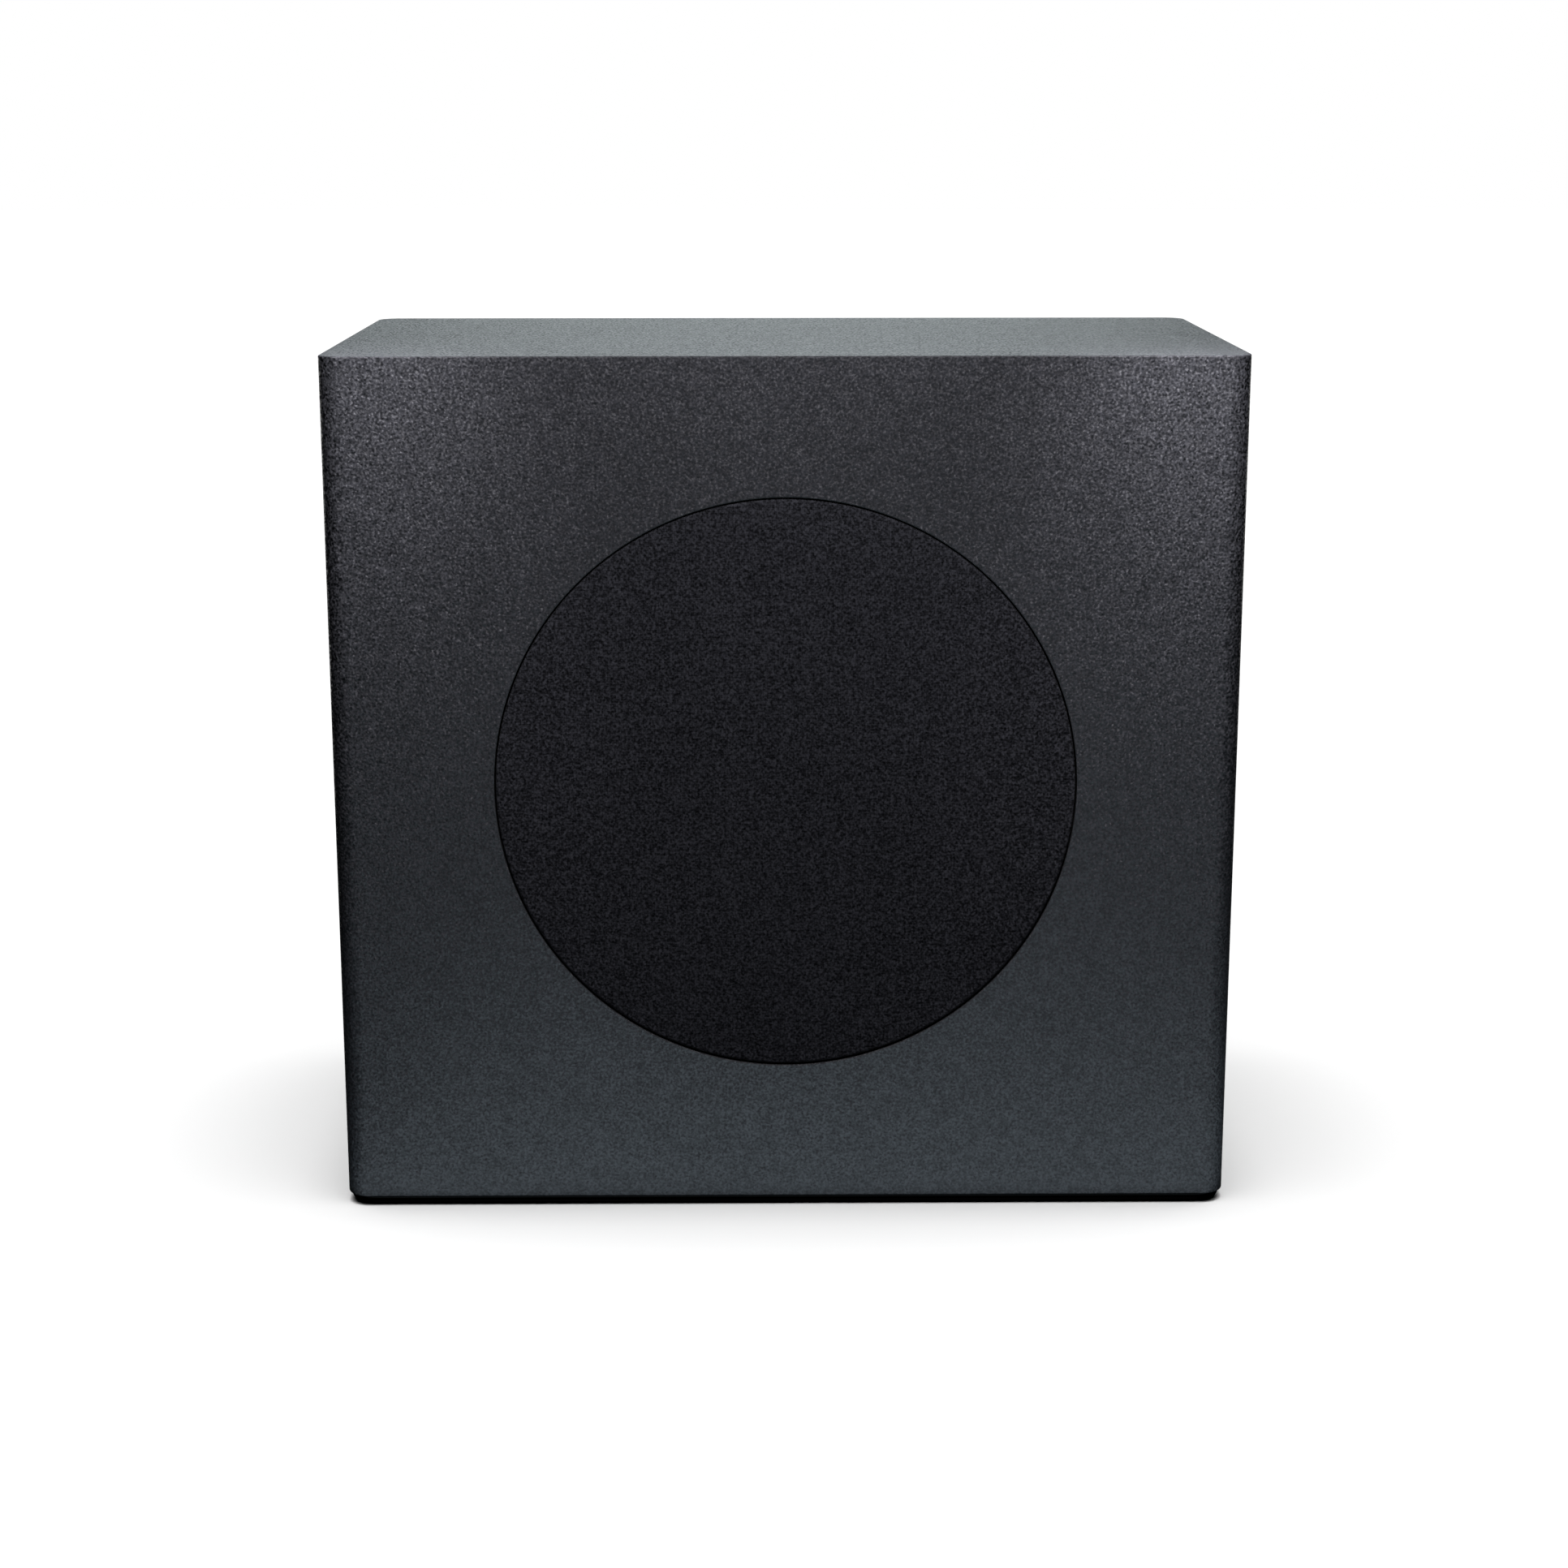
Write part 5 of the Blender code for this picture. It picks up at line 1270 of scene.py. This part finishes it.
def make_capacitor():
    """An electrolytic can: a shrunk sleeve with its groove, and the scored metal top."""
    can = Place("smoothing_capacitor")
    radius, top, seat, rim = can.half.x, can.low.y, can.high.y, 0.0016
    inner, lid, groove = radius - rim, top + 0.0002, seat - 0.0035
    corners = [(0, lid, 0), (inner, lid, 0), (inner, top, 0.00005), (radius, top, 0.0008)]
    corners += [(radius, groove - 0.001, 0.0006), (radius - 0.0006, groove, 0.0004)]
    corners += [(radius, groove + 0.001, 0.0006), (radius, seat, 0.0004), (0, seat, 0)]
    finish(Shape().lathe(corners, WHEEL, can.centre, 3).made("capacitor_can"), SLEEVE, "smoothing_capacitor")
    disc = Shape().rod(inner - 0.0001, top + 0.00005, top + 0.00019, can.centre, WHEEL)
    piece = disc.made("capacitor_top")
    cut(piece, Shape().cross(can.centre, top, radius * 0.6, 0.0004, depth=0.00012))
    finish(piece, ALUMINIUM)


def make_module():
    """The radio: a small board, its shielding can with a ring of vents, and a folded aerial."""
    module = Place("wireless_module")
    back, can_back = module.high.y - 0.0012, module.high.y - 0.0013
    board = Shape().block(Vector((module.low.x, back, module.low.z)), module.high, 0.0008, 0.0001)
    finish(board.made("module_board"), LAMINATE, "wireless_module")
    low = Vector((module.low.x + 0.006, module.low.y, module.low.z + 0.001))
    high = Vector((module.high.x - 0.004, can_back, module.high.z - 0.001))
    piece = Shape().block(low, high, 0.0010, 0.0003).made("module_can")
    vents, vent, circle, middle = 8, 0.0005, 0.005, ((low.x + high.x) / 2, (low.z + high.z) / 2)
    places = [on_circle(circle, math.tau * index / vents, middle) for index in range(vents)]
    cut(piece, Shape().rods(places, vent, low.y - MM, low.y + 0.0004, steps=12))
    finish(piece, ZINC)
    aerial, reach, thickness, width, pitch = Shape(), 0.0040, 0.00008, 0.0010, 0.0045
    for index in range(4):
        low = Vector((module.low.x + 0.0010, can_back, module.low.z + 0.003 + index * pitch))
        aerial.block(low, low + Vector((reach, thickness, width)), 0.0002, steps=1)
    finish(aerial.made("module_aerial"), COPPER)


def make_speaker_cable():
    """A red and a black wire twisted together, from the woofer's tabs to the board."""
    end = Place("speaker_cable").high.y
    places = [(STRIP.high.x + TAB_REACH * 0.7, STRIP.middle.y, STRIP.middle.z)]
    places += [(0.0960, -0.0609, 0.182), (0.1180, -0.034, 0.172), (0.1220, 0.004, 0.158)]
    places += [(0.1020, 0.036, 0.150), (0.0700, 0.052, 0.156), (0.047, 0.0644, 0.163), (0.047, end, 0.163)]
    centres = smooth_route([Vector(place) for place in places], 0.0016)
    wire, apart, lay, untwisted = 0.00095, 0.00105, 0.024, 0.012
    for name, look, phase in (("red", RED_WIRE, 0), ("black", BLACK_WIRE, math.pi)):
        travelled = 0.0
        route = []
        for index, (place, normal, side) in enumerate(frames(centres, Vector((0, 0, 1)))):
            travelled += (place - centres[index - 1]).length if index else 0.0
            angle = phase + math.tau * max(0.0, travelled - untwisted) / lay
            spread = apart + (TAB_SIDE - apart) * max(0.0, 1 - travelled / untwisted) ** 2
            route.append(place + (normal * math.cos(angle) + side * math.sin(angle)) * spread)
        nodes = [] if phase else ["speaker_cable"]
        finish(Shape().swept(route, wire).made(f"{name}_speaker_wire"), look, *nodes)


def make_wadding():
    """A fluffy pad: round edges and a lumpy face."""
    pad = Place("damping_wadding")
    shape = Shape()
    bmesh.ops.create_cube(shape.mesh, size=2.0)
    bmesh.ops.subdivide_edges(shape.mesh, edges=shape.mesh.edges, cuts=46, use_grid_fill=True)
    radius, sink = 0.006, 0.0022
    for vertex in shape.mesh.verts:
        place = pad.middle + Vector(a * b for a, b in zip(vertex.co, pad.half))
        core = Vector(min(max(p, l + radius), h - radius) for p, l, h in zip(place, pad.low, pad.high))
        lump = 0.5 + 0.5 * noise.noise(place * 45) + 0.25 * noise.noise(place * 190)
        vertex.co = core + (place - core).normalized() * (radius - sink * min(1.0, max(0.0, lump)))
    piece = shape.made("wadding_pad")
    finish(piece, FIBRE, "damping_wadding")


make_skin()
make_front_board()
make_driver_board()
dress_panels()
make_base()
make_feet()
make_grille_cloth()
make_grille_ring()
make_grille_sockets()
make_chassis()
make_driver_gasket()
make_screws("chassis_screw", "woofer_screw", SCREW_PLACES, DRIVER_FACE, -1,
            head=0.0038, height=0.0022, shaft=0.0018, length=0.0112)
make_surround()
make_spider()
make_cone()
make_motor()
make_terminals()
make_leads()
make_port()
make_plate()
make_inlet()
make_button()
make_light()
make_circuit_board()
make_heatsink()
make_transformer()
make_capacitor()
make_module()
make_speaker_cable()
make_wadding()


# ---------------------------------------------------------------- stage

WHITE = (1, 1, 1)
COOL = (1.0, 0.98, 1.03)


def make_floor():
    """A plain pale floor that throws no light on the object; the bounce lamp stands in for that."""
    reach = 30 * WIDTH
    outline = ((-reach, -reach), (reach, -reach), (reach, reach), (-reach, reach))
    shape = Shape()
    shape.mesh.faces.new([shape.mesh.verts.new((x, y, 0)) for x, y in outline])
    floor = shape.made("floor")
    look = Look("floor_white", (0.9, 0.9, 0.9), 1.0, Specular_IOR_Level=0.0)
    floor.data.materials.append(look.material)
    floor.visible_diffuse = False
    floor.visible_glossy = False
    floor.visible_transmission = False
    return floor


def aimed(name, data, power, color, place, target):
    """A light at a place that looks at the target, its width level, and that the camera does not see."""
    data.energy = power
    data.color = color
    lamp = added(name, data)
    back = (Vector(place) - Vector(target)).normalized()
    right = Vector((0, 0, 1)).cross(back)
    right = right.normalized() if right.length > 0.01 else Vector((1, 0, 0))
    turn = Matrix((right, back.cross(right), back)).transposed().to_4x4()
    lamp.matrix_world = Matrix.Translation(place) @ turn
    lamp.visible_camera = False
    return lamp


def sun(name, place, power, angle):
    data = bpy.data.lights.new(name, "SUN")
    data.angle = math.radians(angle)
    return aimed(name, data, power, WHITE, place, (0, 0, 0))


def softbox(name, place, target, power, color, size, cone=180):
    data = bpy.data.lights.new(name, "AREA")
    data.shape = "RECTANGLE"
    data.size, data.size_y = size
    data.spread = math.radians(cone)
    return aimed(name, data, power, color, place, target)


def link_lights(lights, name, receivers):
    """Lets the lights reach only these objects."""
    group = bpy.data.collections.new(name)
    for item in receivers:
        group.objects.link(item)
    for light in lights:
        light.light_linking.receiver_collection = group


def light_floor(floor):
    """Four suns that light the floor alone: their shares set how soft and dark the shadow is."""
    lights = [sun("floor_flat", (0, 0, 3), 0.75, 9)]
    for name, lean, power in (("left", -0.75, 1.12), ("middle", 0, 1.09), ("right", 0.75, 1.12)):
        lights.append(sun(f"floor_{name}", (lean, -0.1, 3), power, 36))
    link_lights(lights, "floor_only", [floor])


def light_object(floor):
    """Softboxes that light the object alone."""
    middle, top = Vector((0, 0, WRAP.middle.z)), WRAP.high.z
    low_place, low_target = (0.03, FRONT - 0.10, 0.003), (0.03, FRONT - 0.10, 1)
    left, left_target = (-0.142, FRONT - 0.07, top + 0.11), (-0.180, FRONT, top - 0.055)
    right, right_target = (0.148, FRONT - 0.08, top + 0.12), (0.184, FRONT, top - 0.06)
    centre, centre_target = (0, FRONT - 0.19, top + 0.20), (0, FRONT, top - 0.08)
    fill, fill_target = (0, FRONT - 0.8, WOOFER_Z), (0, FRONT, WOOFER_Z)
    keys = [
        softbox("key_left", left, left_target, 0.060, COOL, (0.05, 0.08), 62),
        softbox("key_right", right, right_target, 0.094, COOL, (0.05, 0.08), 62),
        softbox("key_centre", centre, centre_target, 1.02, COOL, (0.33, 0.12)),
    ]
    bounce = softbox("floor_bounce", low_place, low_target, 0.33, (0.84, 0.99, 1.06), (0.46, 0.196))
    cloth_fill = softbox("cloth_fill", fill, fill_target, 1.2, (0.95, 0.99, 1.08), (0.5, 0.5))
    fills = [
        softbox("sky", (0, 1.5, 0.95), middle, 10.6, (0.90, 1.0, 1.02), (0.95, 1.1)),
        softbox("back_fill", (-0.35, 1.7, 0.15), middle, 9, WHITE, (1.2, 0.3)),
        softbox("side_left", (-0.68, 1.2, 0.18), middle, 4.0, WHITE, (0.7, 0.3)),
        softbox("side_right", (0.68, 1.2, 0.18), middle, 4.0, WHITE, (0.7, 0.3)),
    ]
    cloth = bpy.data.objects["grille_fabric"]
    shown = [o for o in bpy.context.scene.objects if o.type == "MESH" and o is not floor]
    link_lights(keys + fills, "object_only", shown)
    link_lights([bounce], "glossy_only", [o for o in shown if o is not cloth])
    link_lights([cloth_fill], "matt_only", [cloth])


def make_sky():
    """A white background that only the camera sees."""
    world = bpy.data.worlds.new("studio")
    bpy.context.scene.world = world
    world.use_nodes = True
    background = world.node_tree.nodes["Background"]
    background.inputs["Color"].default_value = (*WHITE, 1)
    background.inputs["Strength"].default_value = 1.0
    world.cycles_visibility.diffuse = False
    world.cycles_visibility.glossy = False
    world.cycles_visibility.transmission = False


def make_camera():
    """The eye stands three cabinet widths in front and looks a little down."""
    data = bpy.data.cameras.new("camera")
    data.sensor_width = 36.0
    data.lens = 65.73
    eye = added("camera", data)
    eye.location = (-0.0277 * WIDTH, FRONT - 3.0639 * WIDTH, WRAP.low.z + 1.2141 * WIDTH)
    yaw, pitch, roll = 0.0084, math.radians(13.44), -0.0006
    turn = Matrix.Rotation(-yaw, 4, "Z") @ Matrix.Rotation(math.pi / 2 - pitch, 4, "X")
    eye.rotation_euler = (turn @ Matrix.Rotation(roll, 4, "Z")).to_euler()
    bpy.context.scene.camera = eye


the_floor = make_floor()
light_floor(the_floor)
light_object(the_floor)
make_sky()
make_camera()
bpy.context.scene.view_settings.view_transform = "Standard"
